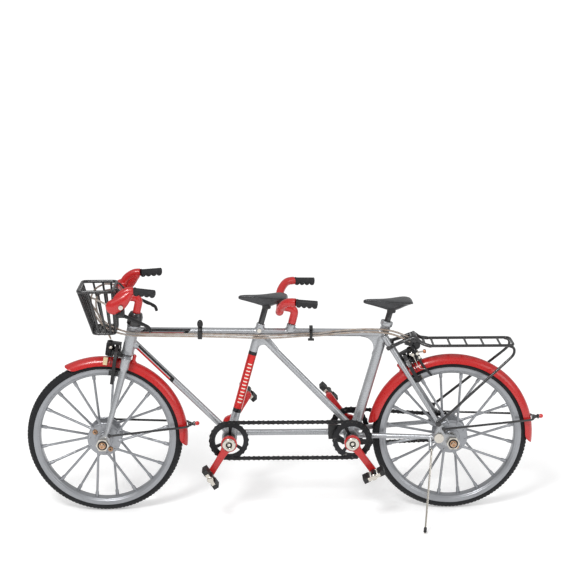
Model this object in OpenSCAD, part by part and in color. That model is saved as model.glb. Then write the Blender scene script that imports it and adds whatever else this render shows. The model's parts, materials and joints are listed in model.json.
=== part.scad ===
// Desk-model tandem bicycle, millimetres. +Z is up, the front wheel is toward -X and the
// timing chain is on the left side, toward -Y. The origin is on the ground, midway between
// the two axles.

/* [Wheels] */
// Distance between the two axles
wheelbase = 182; // [180:0.5:184]
// Outer radius of the tyres
tyre_r = 41; // [40.5:0.1:41.5]
// Width of a tyre
tyre_w = 5.8; // [5.6:0.1:6]
// Number of spokes in each wheel
spoke_count = 20; // [12:2:24]
// Radius of a spoke
spoke_r = 0.5; // [0.4:0.05:0.6]

/* [Frame] */
// Height of both bottom brackets
bracket_z = 42; // [41.5:0.1:42.5]
// Place of the front bottom bracket along the frame
front_bracket_x = -25.3; // [-27:0.1:-24]
// Place of the rear bottom bracket along the frame
rear_bracket_x = 38.6; // [37.5:0.1:39]
// Radius of the top tube
top_tube_r = 2.05; // [1.9:0.05:2.2]
// Radius of the down tube and the two diagonals
down_tube_r = 1.75; // [1.6:0.05:1.9]
// Backward lean of the steering axis
head_tilt = 13.2; // [12.8:0.1:13.6]
// Distance of the front axle ahead of the steering axis
fork_rake = 2.3; // [2:0.1:2.6]

/* [Cranks] */
// Length of a crank arm, centre to centre
crank_len = 18.4; // [17:0.1:19]
// Pitch radius of the three chainrings
ring_r = 9.75; // [9.5:0.05:9.9]
// Teeth on a chainring
ring_teeth = 24; // [20:1:28]
// Teeth on the rear sprocket
sprocket_teeth = 17; // [15:1:18]
// Angle of the front left crank, from straight ahead over the top
front_crank_angle = 238.6; // [230:0.1:250]
// Angle of the rear left crank, from straight ahead over the top
rear_crank_angle = 305.7; // [300:0.1:315]

/* [Saddles] */
// Height of the top of the front saddle
front_saddle_z = 117.6; // [116.5:0.1:118.5]
// Height of the top of the rear saddle
rear_saddle_z = 115; // [114:0.1:116]
// Length of a saddle
saddle_len = 25; // [23:0.5:26]
// Width of a saddle at the back
saddle_w = 14; // [12:0.5:15]

/* [Fits] */
// Radial gap between a shaft and the part that turns on it
running_gap = 0.05; // [0.03:0.01:0.08]
// Gap between two fixed parts that touch
seat_gap = 0.02; // [0.01:0.01:0.03]

/* [Hidden] */
$fn = 48;

SILVER = [0.72, 0.73, 0.74];
RED = [0.87, 0.19, 0.17];
BLACK = [0.09, 0.09, 0.1];
NICKEL = [0.83, 0.82, 0.78];
CABLE = [0.62, 0.57, 0.52];
PAD = [0.86, 0.76, 0.58];

front_axle_at = [-wheelbase / 2, 0, tyre_r];
rear_axle_at = [wheelbase / 2, 0, tyre_r];
front_bracket_at = [front_bracket_x, 0, bracket_z];
rear_bracket_at = [rear_bracket_x, 0, bracket_z];

// Wheel
tube_r = tyre_w / 2;
tyre_core_r = tyre_r - tube_r;
rim_bed_r = tyre_core_r - 1.8;
rim_edge_r = tyre_core_r - 0.6;
rim_inner_r = tyre_core_r - 4.3;
rim_half_w = tube_r + 0.4;
flange_r = 8.9;
flange_y = 5.6;
flange_t = 1.3;
hub_end_y = 6.6;
axle_r = 1.5;
axle_end_r = 1.2;
axle_end_len = 2.2;
spoke_pitch = 360 / spoke_count;
spoke_twist = 17;

// Mudguard
guard_core_r = tyre_core_r + 1.5;
guard_out = 4.1;
guard_skin = 0.6;

// Steering axis: height h along it is counted from the point nearest to the front axle
axis_foot = front_axle_at + fork_rake * [cos(head_tilt), 0, -sin(head_tilt)];
head_low_h = 46.6;
head_high_h = 62.9;
head_r = 3.2;
head_bore_r = 2.3;
steerer_r = 1.7;
fork_y = 7.2;
dropout_y = 12.3;
dropout_t = 1.6;

// Tube between the two bottom brackets, and the socket of the stoker's stem
lower_tube_r = 1.7;
stoker_foot = [6.4, 0, 97.2];
stoker_tilt = 14.5;
stoker_post_r = 1.7;

// Seat tubes
front_seat_tilt = 15.4;
rear_seat_tilt = 15.8;
front_seat_foot = front_bracket_at + [0.4, 0, 0];
rear_seat_foot = rear_bracket_at + [1.5, 0, 0];
post_r = 1.6;
seat_tube_r = 2.3;
rear_seat_tube_r = 2.6;

// Bottom brackets, chainrings and chains
shell_half = 8;
shell_r = 4;
shell_bore_r = 2.6;
spindle_r = 1.5;
timing_y = -12;
drive_y = 10.5;
chain_half_h = 1.05;
chain_half_w = 0.8;
chain_gap = 0.45;
sprocket_r = ring_r * sprocket_teeth / ring_teeth;
arm_y = 17.3;
arm_t = 2.6;
pedal_pin_r = 0.8;
pedal_inner_y = 19.2;
pedal_outer_y = 28.4;

// Brakes: angle around the wheel, and pivot height from the axle
front_brake_angle = 81.1;
rear_brake_angle = 119.5;
brake_pivot_r = 46.9;
brake_pivot_y = 3.4;
brake_pin_r = 0.55;
pad_face_y = 3.95;

// Rear stays
stay_top = [56, 3.2, 94.5];
stay_end = [84.3, 13, 49.5];
stay_r = 1.55;
stay_low_r = 1.1;
rear_dropout_y = 13.4;
tensioner_at = [83.7, 0, 43.6];
bridge_t = 0.27;

// Kickstand
stand_pivot = [79.5, -18.2, 38.5];
stand_foot = [74.8, -38.5, 0.8];
stand_axis_tilt = 20.4;
stand_pin_r = 0.55;

// Handlebars
bar_r = 2.1;
wire_facets = 8;
bar_core_r = 1;
grip_r = 1.65;
front_cross = [-79.8, 0, 116.8];
hood_at = [-81.8, 23.6, 117];
hood_t = 2.2;
hood_screw_at = hood_at + [3.4, 0, 0.2];
lever_pivot = [-79, 22, 112.9];
lever_pin_r = 0.6;
rear_cross = [1.6, 0, 111];
cable_r = 0.48;

// ---- Points and curves ----

function mix(a, b, t) = a + (b - a) * t;
function flip_y(p) = [p.x, -p.y, p.z];
function rings(angle, r) = [r * cos(angle), 0, r * sin(angle)];
function on_seat(foot, tilt, z) = foot + [(z - foot.z) * tan(tilt), 0, z - foot.z];
function on_axis(h) = axis_foot + h * [sin(head_tilt), 0, cos(head_tilt)];
function top_tube_z(x) = 98.2 - 0.0146 * (x + 68.7);

// One point of a smooth curve through four neighbours
function spline_at(p0, p1, p2, p3, t) =
    0.5 * (2 * p1 + (p2 - p0) * t + (2 * p0 - 5 * p1 + 4 * p2 - p3) * t * t
    + (3 * p1 - p0 - 3 * p2 + p3) * t * t * t);

// A smooth curve through the points, with the given number of steps between each two
function smooth(points, steps) = [
    for (i = [0:len(points) - 2], k = [0:steps - 1])
        spline_at(
            points[max(i - 1, 0)], points[i], points[i + 1],
            points[min(i + 2, len(points) - 1)], k / steps
        ),
    points[len(points) - 1]
];

// ---- Shapes that repeat ----

// A straight round bar from a to b, tapering to radius r2 when it is given
module rod(a, b, r, r2 = undef) {
    v = b - a;
    translate(a)
        rotate([0, acos(v.z / norm(v)), atan2(v.y, v.x)])
            cylinder(r1 = r, r2 = is_undef(r2) ? r : r2, h = norm(v));
}

// A round bar that bends at each point, with a slightly thicker ball in each bend
module bent_rod(points, r) {
    for (i = [1:len(points) - 1])
        rod(points[i - 1], points[i], r);
    for (i = [1:len(points) - 2])
        translate(points[i])
            sphere(r = r * 1.01);
}

// A thin bent wire with rounded ends, drawn with few facets
module wire(points, r) {
    for (i = [1:len(points) - 1])
        hull()
            for (p = [points[i - 1], points[i]])
                translate(p)
                    sphere(r = r, $fn = wire_facets);
}

// A round bar across the frame, from y1 to y2
module cross_rod(p, y1, y2, r) {
    translate([p.x, y1, p.z])
        rotate([-90, 0, 0])
            cylinder(r = r, h = y2 - y1);
}

// A flat plate in the XZ plane, centred at y
module plate(y, t) {
    translate([0, y + t / 2, 0])
        rotate([90, 0, 0])
            linear_extrude(t)
                children();
}

// The outline of a belt round two circles, in the XZ plane
module belt_outline(p1, r1, p2, r2) {
    d = [p2.x - p1.x, p2.z - p1.z];
    along = atan2(d.y, d.x);
    lean = acos((r1 - r2) / norm(d));
    c1 = [p1.x, p1.z];
    c2 = [p2.x, p2.z];
    up = [cos(along + lean), sin(along + lean)];
    down = [cos(along - lean), sin(along - lean)];
    translate(c1)
        circle(r = r1);
    translate(c2)
        circle(r = r2);
    polygon([c1 + r1 * up, c1 + r1 * down, c2 + r2 * down, c2 + r2 * up]);
}

// Points along an arc, counter-clockwise between two angles
function arc_points(centre, r, from, to, steps) =
    [for (i = [0:steps]) centre + r * [cos(mix(from, to, i / steps)), sin(mix(from, to, i / steps))]];

// The same outline with short straight sides, for chains and rear dropouts
module belt_polygon(p1, r1, p2, r2) {
    d = [p2.x - p1.x, p2.z - p1.z];
    along = atan2(d.y, d.x);
    lean = acos((r1 - r2) / norm(d));
    polygon(concat(
        arc_points([p1.x, p1.z], r1, along + lean, along + 360 - lean, 18),
        arc_points([p2.x, p2.z], r2, along - lean, along + lean, 18)
    ));
}

// A ring of the given half-section turned about the Y axis, with its axle at p
module turned(p, span = 360, start = 0) {
    translate(p)
        rotate([0, -start, 0])
            rotate([90, 0, 0])
                rotate_extrude(angle = span)
                    children();
}

// Children drawn with local Z along the steering axis and the origin at its foot
module on_steering() {
    translate(axis_foot)
        rotate([0, head_tilt, 0])
            children();
}

// Children drawn with the origin on an axle and local Z outward at the given angle
module at_wheel(axle, angle) {
    translate(axle)
        rotate([0, 90 - angle, 0])
            children();
}

// Children drawn on both sides of the frame
module both_sides() {
    children();
    mirror([0, 1, 0])
        children();
}

// A hexagon nut on the left side, with the axle through it
module hex_nut(p, y, t, across, bore_r) {
    plate(y, t)
        translate([p.x, p.z])
            difference() {
                circle(r = across / sqrt(3), $fn = 6);
                circle(r = bore_r);
            }
}

// ---- Wheels ----

module tyre_at(p) {
    color(BLACK)
        turned(p)
            difference() {
                translate([tyre_core_r, 0])
                    circle(r = tube_r);
                translate([0, -tube_r - 1])
                    square([rim_bed_r + seat_gap, tyre_w + 2]);
            }
}

module rim_at(p) {
    lip = rim_half_w - 0.35;
    color(SILVER)
        turned(p)
            polygon([
                [rim_inner_r, -1.7], [rim_inner_r + 1.2, -rim_half_w + 0.4],
                [rim_edge_r, -rim_half_w], [rim_edge_r, -lip], [rim_bed_r, -lip],
                [rim_bed_r, lip], [rim_edge_r, lip], [rim_edge_r, rim_half_w],
                [rim_inner_r + 1.2, rim_half_w - 0.4], [rim_inner_r, 1.7]
            ]);
}

// Spokes leave the two flanges by turns and lean to opposite sides
module spokes_at(p) {
    nipple_len = 2.4;
    color(SILVER)
        for (i = [0:spoke_count - 1]) {
            side = i % 2 == 0 ? -1 : 1;
            rim_angle = spoke_pitch * (i + 0.5);
            inner = p + rings(rim_angle + side * spoke_twist, flange_r - 1.2)
                + [0, side * (flange_y - flange_t / 2), 0];
            outer = p + rings(rim_angle, rim_inner_r + 0.2) + [0, side * 0.8, 0];
            back = mix(outer, inner, nipple_len / norm(inner - outer));
            rod(inner, outer, spoke_r);
            rod(back, outer, spoke_r * 1.7);
        }
}

module hub_at(p) {
    screw_ring = 6;
    color(SILVER)
        difference() {
            union() {
                cross_rod(p, -hub_end_y, hub_end_y, 3.4);
                both_sides() {
                    cross_rod(p, -flange_y, flange_t - flange_y, flange_r);
                    cross_rod(p, -flange_y - 0.4, -flange_y, 4.6);
                }
            }
            cross_rod(p, -hub_end_y - 1, hub_end_y + 1, axle_r + running_gap);
        }
    color(NICKEL)
        for (angle = [38, 218])
            cross_rod(p + rings(angle, screw_ring), -flange_y - 0.75, -flange_y - seat_gap, 1.15);
}

module front_tyre() { tyre_at(front_axle_at); }
module front_rim() { rim_at(front_axle_at); }
module front_spokes() { spokes_at(front_axle_at); }
module front_hub() { hub_at(front_axle_at); }
module rear_tyre() { tyre_at(rear_axle_at); }
module rear_rim() { rim_at(rear_axle_at); }
module rear_spokes() { spokes_at(rear_axle_at); }
module rear_hub() { hub_at(rear_axle_at); }

// Toothed disc whose teeth stop short of the chain's rollers
module toothed_outline(r, teeth) {
    root = r - 0.85;
    tip = r - 0.35;
    circle(r = root);
    for (i = [0:teeth - 1])
        rotate(i * 360 / teeth)
            polygon([[root - 0.3, -0.6], [tip, -0.25], [tip, 0.25], [root - 0.3, 0.6]]);
}

module sprocket() {
    color(BLACK)
        difference() {
            union() {
                plate(drive_y, 0.7)
                    translate([rear_axle_at.x, rear_axle_at.z])
                        toothed_outline(sprocket_r, sprocket_teeth);
                cross_rod(rear_axle_at, hub_end_y + seat_gap, drive_y + 1, 3);
            }
            cross_rod(rear_axle_at, 0, 20, axle_r + running_gap);
        }
}

// ---- Axles and nuts ----

// Axle through both dropouts, with a spacer, a hexagon nut and a free end on each side
module axle_set(p, plate_y, right_spacer_y) {
    inner = plate_y - dropout_t / 2;
    outer = plate_y + dropout_t / 2;
    nut_t = 2.6;
    shoulder = outer + nut_t + 2 * seat_gap;
    color(NICKEL) {
        cross_rod(p, -shoulder, shoulder, axle_r);
        both_sides()
            cross_rod(p, -shoulder - axle_end_len, -shoulder, axle_end_r);
        for (side = [-1, 1]) {
            from = side < 0 ? -inner + seat_gap : right_spacer_y;
            to = side < 0 ? -hub_end_y - 0.1 : inner - seat_gap;
            difference() {
                cross_rod(p, from, to, 2.4);
                cross_rod(p, from - 1, to + 1, axle_r + seat_gap);
            }
            hex_nut(p, side * (outer + seat_gap + nut_t / 2), nut_t, 6, axle_r + seat_gap);
        }
    }
}

module front_axle() { axle_set(front_axle_at, dropout_y, hub_end_y + 0.1); }

module rear_axle() {
    axle_set(rear_axle_at, rear_dropout_y, drive_y + 1.1);
    face = rear_dropout_y + dropout_t / 2 + seat_gap;
    color(NICKEL)
        both_sides() {
            cross_rod(tensioner_at, -face - 1.7, -face, 2.5);
            cross_rod(tensioner_at, -face, -rear_dropout_y + 0.4, 1);
        }
}

// ---- Frame ----

module frame_solids() {
    front_top = on_seat(front_seat_foot, front_seat_tilt, 102);
    rear_top = on_seat(rear_seat_foot, rear_seat_tilt, 100.8);
    rear_join = on_seat(rear_seat_foot, rear_seat_tilt, top_tube_z(54));
    head_join = on_axis((top_tube_z(-75.3) - axis_foot.z) / cos(head_tilt));
    down_join = on_axis(54.8);

    // head tube with a raised band at each end
    on_steering() {
        translate([0, 0, head_low_h])
            cylinder(r = head_r, h = head_high_h - head_low_h);
        for (h = [head_low_h, head_high_h - 1.3])
            translate([0, 0, h])
                cylinder(r = head_r + 0.25, h = 1.3);
    }
    rod(head_join, rear_join, top_tube_r);
    rod(down_join, front_bracket_at, down_tube_r);
    rod(front_seat_foot, front_top, seat_tube_r);
    rod(on_seat(front_seat_foot, front_seat_tilt, 96.5), rear_bracket_at + [0.6, 0, 3], down_tube_r);
    rod(lower_tube_end(front_bracket_at), lower_tube_end(rear_bracket_at), lower_tube_r);
    rod(rear_seat_foot, rear_top, rear_seat_tube_r);
    // wide collar at the top of the rear seat tube
    rod(on_seat(rear_seat_foot, rear_seat_tilt, 100.4), on_seat(rear_seat_foot, rear_seat_tilt, 102.8), 3.3);
    // socket for the stoker's stem
    rod(stoker_foot, stoker_point(101.6), 2.4);
    cross_rod(front_bracket_at, -shell_half, shell_half, shell_r);
    cross_rod(rear_bracket_at, -shell_half, shell_half, shell_r);
}

module frame_gussets() {
    // web under the front seat cluster, hollowed by a round arch
    plate(0, 2.6)
        difference() {
            polygon([[-12.6, 88], [-10.6, 96.5], [-6, 96.5], [0.8, 88]]);
            translate([-6.4, 85.4])
                circle(r = 5.2);
        }
    // web in front of the rear seat tube, hollowed by a round arch
    plate(0, 2.6)
        difference() {
            polygon([[43.5, 95.4], [55, 95.4], [51.5, 85], [49, 85]]);
            translate([44.2, 88.4])
                circle(r = 6);
        }
}

module frame_rear() {
    both_sides() {
        rod(flip_y(mix(stay_top, stay_end, -0.02)), flip_y(stay_end), stay_r, stay_low_r);
        rod([56, 0, 96], flip_y(stay_top), stay_r - 0.2);
        rod(rear_bracket_at + [2.4, -5.6, 0.4], [81.6, -12.7, 43.4], 1.5, 1.2);
        plate(-rear_dropout_y, dropout_t) {
            belt_polygon(rear_axle_at, 3.6, tensioner_at, 2.7);
            belt_polygon(tensioner_at, 2.7, [84.6, 0, 49], 1.7);
        }
    }
    // bridge between the seat stays
    bridge = mix(stay_top, stay_end, bridge_t);
    cross_rod(bridge, -bridge.y, bridge.y, 1.2);
    // boss for the kickstand, under the left chain stay
    rod([79.5, -12.9, 42.6], stand_pivot + stand_along(-2.6), 1.1);
    rod(stand_pivot + stand_along(-3.4), stand_pivot + stand_along(-0.7), 1.3);
}

function lower_tube_end(bracket) = bracket + [0, 0, 0.4];
function stoker_point(z) = stoker_foot + [(z - stoker_foot.z) * tan(stoker_tilt), 0, z - stoker_foot.z];
function stand_along(d) = d * [0, -cos(stand_axis_tilt), sin(stand_axis_tilt)];

module frame_tubes() {
    front_top = on_seat(front_seat_foot, front_seat_tilt, 104);
    rear_top = on_seat(rear_seat_foot, rear_seat_tilt, 104);
    front_low = on_seat(front_seat_foot, front_seat_tilt, 82);
    rear_low = on_seat(rear_seat_foot, rear_seat_tilt, 82);
    color(SILVER)
        difference() {
            union() {
                frame_solids();
                frame_gussets();
                frame_rear();
            }
            on_steering()
                translate([0, 0, head_low_h - 1])
                    cylinder(r = head_bore_r, h = head_high_h - head_low_h + 2);
            rod(front_low, front_top, post_r + running_gap);
            rod(rear_low, rear_top, post_r + running_gap);
            rod(stoker_point(98.6), stoker_point(103), stoker_post_r + seat_gap);
            cross_rod(front_bracket_at, -shell_half - 1, shell_half + 1, shell_bore_r);
            cross_rod(rear_bracket_at, -shell_half - 1, shell_half + 1, shell_bore_r);
            cross_rod(rear_axle_at, -20, 20, axle_r + seat_gap);
            both_sides()
                cross_rod(tensioner_at, -20, -rear_dropout_y + 0.5, 1 + seat_gap);
            for (s = clamp_screw_spots())
                cross_rod(s, -6, 0, 0.6 + seat_gap);
            rod(stand_pivot + stand_along(-2.8), stand_pivot, stand_pin_r + running_gap);
        }
}

// Where the two set screws hold the seat posts
function clamp_screw_spots() = [
    on_seat(front_seat_foot, front_seat_tilt, 98.6),
    on_seat(rear_seat_foot, rear_seat_tilt, 98)
];

module seat_clamp_screws() {
    heads = [seat_tube_r, rear_seat_tube_r];
    spots = clamp_screw_spots();
    color(NICKEL)
        for (i = [0, 1]) {
            cross_rod(spots[i], -heads[i] - 0.75, -heads[i] - 0.05, 1.1);
            cross_rod(spots[i], -heads[i] - 0.1, -post_r - 0.1, 0.6);
        }
}

// Bushes that carry the steerer and the two crank spindles
module bearings() {
    color(NICKEL) {
        on_steering()
            for (h = [head_low_h + 0.2, head_high_h - 3.2])
                translate([0, 0, h])
                    difference() {
                        cylinder(r = head_bore_r - seat_gap, h = 3);
                        translate([0, 0, -1])
                            cylinder(r = steerer_r + running_gap, h = 5);
                    }
        for (p = [front_bracket_at, rear_bracket_at])
            both_sides()
                difference() {
                    cross_rod(p, -shell_half + 0.2, -shell_half + 2.6, shell_bore_r - seat_gap);
                    cross_rod(p, -shell_half - 1, 0, spindle_r + running_gap);
                }
    }
}

// Black block under the top run of the timing chain, held on the lower tube
module chain_guide() {
    color(BLACK)
        difference() {
            translate([rear_bracket_x - 12.1, -9.4, bracket_z - 0.5])
                cube([4.5, 9.4, 7.5]);
            rod(lower_tube_end(front_bracket_at), lower_tube_end(rear_bracket_at), lower_tube_r + seat_gap);
        }
}

// ---- Cranks, rings and chains ----

module spindle_at(p) {
    end = arm_y + arm_t / 2;
    color(NICKEL) {
        cross_rod(p, -end, end, spindle_r);
        both_sides()
            difference() {
                cross_rod(p, -end - 1, -end - seat_gap, 3.5);
                plate(-end - 1, 0.8)
                    translate([p.x, p.z])
                        circle(r = 1.5, $fn = 6);
            }
    }
}

// Two arms set opposite each other, each with the fixed pin of its pedal
module arms_at(p, left_angle) {
    for (side = [-1, 1]) {
        angle = side < 0 ? left_angle : left_angle + 180;
        tip = p + rings(angle, crank_len);
        color(RED)
            difference() {
                plate(side * arm_y, arm_t)
                    belt_outline(p, 4.2, tip, 1.8);
                cross_rod(p, -30, 30, spindle_r + seat_gap);
            }
        color(NICKEL)
            cross_rod(
                tip,
                side < 0 ? -pedal_outer_y + 1 : arm_y + arm_t / 2,
                side < 0 ? -arm_y - arm_t / 2 : pedal_outer_y - 1,
                pedal_pin_r
            );
    }
}

// Ring with three arms and a boss on the spindle
module ring_at(p, y, arm_angle) {
    color(BLACK)
        difference() {
            union() {
                plate(y, 0.7)
                    translate([p.x, p.z]) {
                        difference() {
                            toothed_outline(ring_r, ring_teeth);
                            circle(r = 7.9);
                        }
                        for (a = [0, 120, 240])
                            rotate(arm_angle + a)
                                translate([2.4, -0.7])
                                    square([5.7, 1.4]);
                        circle(r = 3.2);
                    }
                cross_rod(
                    p,
                    y < 0 ? y - 1.2 : shell_half + 0.3,
                    y < 0 ? -shell_half - 0.3 : y + 1.2,
                    2.6
                );
            }
            cross_rod(p, -30, 30, spindle_r + seat_gap);
        }
}

module front_spindle() { spindle_at(front_bracket_at); }
module rear_spindle() { spindle_at(rear_bracket_at); }
module front_crank_arms() { arms_at(front_bracket_at, front_crank_angle); }
module rear_crank_arms() { arms_at(rear_bracket_at, rear_crank_angle); }
module front_timing_ring() { ring_at(front_bracket_at, timing_y, 85); }
module rear_timing_ring() { ring_at(rear_bracket_at, timing_y, 115); }
module drive_ring() { ring_at(rear_bracket_at, drive_y, 60); }

// Chain as two side plates joined outside the teeth
module chain_loop(y, p1, r1, p2, r2) {
    color(BLACK) {
        for (side = [-1, 1])
            plate(y + side * (chain_half_w + chain_gap) / 2, chain_half_w - chain_gap)
                difference() {
                    belt_polygon(p1, r1 + chain_half_h, p2, r2 + chain_half_h);
                    belt_polygon(p1, r1 - chain_half_h, p2, r2 - chain_half_h);
                }
        plate(y, 2 * chain_gap)
            difference() {
                belt_polygon(p1, r1 + 0.5, p2, r2 + 0.5);
                belt_polygon(p1, r1 - 0.2, p2, r2 - 0.2);
            }
    }
}

module timing_chain() {
    chain_loop(timing_y, front_bracket_at, ring_r, rear_bracket_at, ring_r);
}

module drive_chain() {
    chain_loop(drive_y, rear_bracket_at, ring_r, rear_axle_at, sprocket_r);
}

// Pedal on its pin: two blocks joined by side plates and a sleeve
module pedal_at(p, side, angle) {
    inner = side < 0 ? -pedal_outer_y : pedal_inner_y;
    outer = side < 0 ? -pedal_inner_y : pedal_outer_y;
    translate([p.x, 0, p.z])
        rotate([0, -angle, 0])
            color(BLACK)
                difference() {
                    union() {
                        cross_rod([0, 0, 0], inner, outer, 1.5);
                        for (end = [-1, 1])
                            translate([end * 4.5 - 1.5, inner + 0.5, -1.4])
                                cube([3, outer - inner - 1, 2.8]);
                        for (y = [inner + 0.5, outer - 1.1])
                            translate([-4.5, y, -1])
                                cube([9, 0.6, 2]);
                    }
                    cross_rod(
                        [0, 0, 0],
                        side < 0 ? -pedal_outer_y + 0.8 : 0,
                        side < 0 ? 0 : pedal_outer_y - 0.8,
                        pedal_pin_r + running_gap
                    );
                }
}

module front_left_pedal() {
    pedal_at(front_bracket_at + rings(front_crank_angle, crank_len), -1, -57);
}

module front_right_pedal() {
    pedal_at(front_bracket_at + rings(front_crank_angle + 180, crank_len), 1, -50);
}

module rear_left_pedal() {
    pedal_at(rear_bracket_at + rings(rear_crank_angle, crank_len), -1, 26);
}

module rear_right_pedal() {
    pedal_at(rear_bracket_at + rings(rear_crank_angle + 180, crank_len), 1, -45);
}

// ---- Fork and steering ----

module fork() {
    color(SILVER)
        difference() {
            union() {
                on_steering() {
                    translate([0, 0, 45])
                        cylinder(r = steerer_r, h = 27);
                    translate([0, 0, 46])
                        cylinder(r = 2.7, h = head_low_h - 46.1);
                    translate([-2.1, -fork_y, 44.6])
                        cube([4.2, 2 * fork_y, 1.8]);
                    both_sides()
                        translate([0, -fork_y, 40.4])
                            cylinder(r = 2.4, h = 6);
                }
                both_sides() {
                    rod(on_axis(41) + [0, -fork_y, 0], on_axis(4.4) + [-1.6, -dropout_y, 0], 1.9, 1.2);
                    plate(-dropout_y, dropout_t)
                        belt_outline(front_axle_at, 3.6, on_axis(5) + [-1.4, 0, 0], 1.6);
                }
            }
            cross_rod(front_axle_at, -20, 20, axle_r + seat_gap);
        }
}

module headset_locknut() {
    color(BLACK)
        on_steering()
            translate([0, 0, head_high_h + 0.2])
                difference() {
                    union() {
                        cylinder(r = 3.9, h = 4.6);
                        translate([0, 0, 4.6])
                            cylinder(r1 = 3.9, r2 = 3.1, h = 1.85);
                    }
                    translate([0, 0, -1])
                        cylinder(r = steerer_r + seat_gap, h = 9);
                }
}

// Left half of each bar, from the middle to the start of the grip
function front_bar_half() = [
    front_cross, [-80, -11, 116.8], [-81.3, -17.5, 116.8], [-81.9, -20.6, 117.6],
    [-79.6, -21.4, 121.6], [-75.6, -21.2, 124.3], [-72.2, -21, 124.7]
];
function stoker_bar_half() = [
    rear_cross, [1.3, -9, 111], [1.2, -14, 111.6], [2.2, -18.5, 115.4],
    [5.2, -22.6, 118.5], [9.4, -24.5, 119]
];

function front_grip_ends() = [[-72.1, -21, 124.7], [-61.2, -25.6, 124.5]];
function stoker_grip_ends() = [[9.5, -24.5, 119], [20.2, -26.2, 118.5]];

// One handlebar: the bent tube on both sides and the thin cores inside the grips
module bar_tube(half, grip) {
    both_sides() {
        bent_rod(smooth(half, 2), bar_r);
        rod(mix(grip[0], grip[1], -0.04), mix(grip[0], grip[1], 0.85), bar_core_r);
    }
}

module handlebar() {
    color(RED)
        difference() {
            union() {
                bar_tube(front_bar_half(), front_grip_ends());
                rod(on_axis(69.6), on_axis(77.6), bar_r);
                rod(on_axis(76.6), front_cross, 1.9);
                translate(on_axis(77.6))
                    sphere(r = bar_r * 1.01);
            }
            rod(on_axis(68), on_axis(72.2), steerer_r + seat_gap);
        }
}

module stoker_bar() {
    color(RED) {
        bar_tube(stoker_bar_half(), stoker_grip_ends());
        rod(stoker_point(98.7), stoker_point(102), stoker_post_r);
        rod(stoker_point(101.7), stoker_point(110.8), bar_r);
        rod(stoker_point(110.8), rear_cross, 1.9);
        translate(stoker_point(110.8))
            sphere(r = bar_r * 1.01);
    }
}

// Hand grip with four finger bumps underneath
module grips_on(grip) {
    along = (grip[1] - grip[0]) / norm(grip[1] - grip[0]);
    len = norm(grip[1] - grip[0]);
    side = cross(along, [0, 0, 1]);
    color(BLACK)
        both_sides()
            difference() {
                union() {
                    rod(grip[0], grip[1], grip_r);
                    for (k = [0:3]) {
                        bump = grip[0] + along * len * (0.14 + 0.24 * k) - [0, 0, 1.2];
                        rod(bump - side * 0.9, bump + side * 0.9, 0.95);
                    }
                }
                rod(grip[0] - along, mix(grip[0], grip[1], 0.87), bar_core_r + seat_gap);
            }
}

module front_grips() { grips_on(front_grip_ends()); }
module stoker_grips() { grips_on(stoker_grip_ends()); }

// Rounded covers on the outer face of the bar's bends
module lever_hoods() {
    color(RED)
        both_sides()
            difference() {
                plate(-hood_at.y - hood_t / 2, hood_t) {
                    belt_outline(hood_at, 4.1, hood_at + [4.2, 0, 2.6], 3);
                    belt_outline(hood_at + [4.2, 0, 2.6], 3, hood_at + [6.8, 0, 6.4], 1.9);
                }
                cross_rod(hood_screw_at, -30, 0, 1.2);
            }
}

// Black clamps under the bar's bends, with the lever pins and the hood screws
module lever_clamps() {
    both_sides() {
        color(BLACK) {
            difference() {
                translate([lever_pivot.x - 2, -lever_pivot.y - 2.4, lever_pivot.z - 1.4])
                    cube([4, 4.8, 4.6]);
                translate([lever_pivot.x - 3, -lever_pivot.y - 1.1, lever_pivot.z - 2])
                    cube([6, 2.2, 3.9]);
                bent_rod(smooth(front_bar_half(), 2), bar_r + seat_gap);
                plate(-hood_at.y - hood_t / 2, hood_t + 0.1)
                    belt_outline(hood_at, 4.15, hood_at + [4.2, 0, 2.6], 3.05);
            }
            cross_rod(lever_pivot, -lever_pivot.y - 1.5, -lever_pivot.y + 1.5, lever_pin_r);
        }
        color(NICKEL)
            cross_rod(hood_screw_at, -hood_at.y - hood_t - 0.5, -hood_at.y, 1.15);
    }
}

// Hooked brake lever on its pin
module brake_lever(side) {
    a = lever_pivot;
    b = a + [8, 0, -4];
    c = a + [13.2, 0, -6.6];
    d = a + [15, 0, -9.4];
    color(BLACK)
        difference() {
            plate(side * lever_pivot.y, 2) {
                belt_outline(a, 1.35, b, 1);
                belt_outline(b, 1, c, 0.85);
                belt_outline(c, 0.85, d, 0.7);
            }
            cross_rod(a, -30, 30, lever_pin_r + running_gap);
        }
}

module left_brake_lever() { brake_lever(-1); }
module right_brake_lever() { brake_lever(1); }

// ---- Brakes ----

// Bracket with two pivot pins, an over-arm and a cable barrel; reach says on which side
// of the arms the bracket stands, and how far it goes
module brake_body(axle, angle, reach) {
    side = sign(reach);
    back = 1.3;
    low = reach > 0 ? back : reach;
    high = reach > 0 ? reach : -back;
    color(BLACK)
        at_wheel(axle, angle) {
            translate([low, -5, brake_pivot_r - 1.4])
                cube([high - low, 10, 2.6]);
            translate([low, -1.6, brake_pivot_r - 1.4])
                cube([high - low, 3.2, 6.4]);
            translate([side > 0 ? -5.4 : low, -1.6, brake_pivot_r + 3.8])
                cube([side > 0 ? high + 5.4 : 5.4 - low, 3.2, 1.2]);
            translate([-side * 3.6, 0, brake_pivot_r - 2.6])
                cylinder(r = 2, h = 6.6);
            translate([-side * 3.6, 0, brake_pivot_r + 4.6])
                cylinder(r = 0.9, h = 1);
            for (y = [-brake_pivot_y, brake_pivot_y])
                translate([side > 0 ? -1.5 : -back - 0.1, y, brake_pivot_r])
                    rotate([0, 90, 0])
                        cylinder(r = brake_pin_r, h = 1.6 + back);
        }
}

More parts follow.
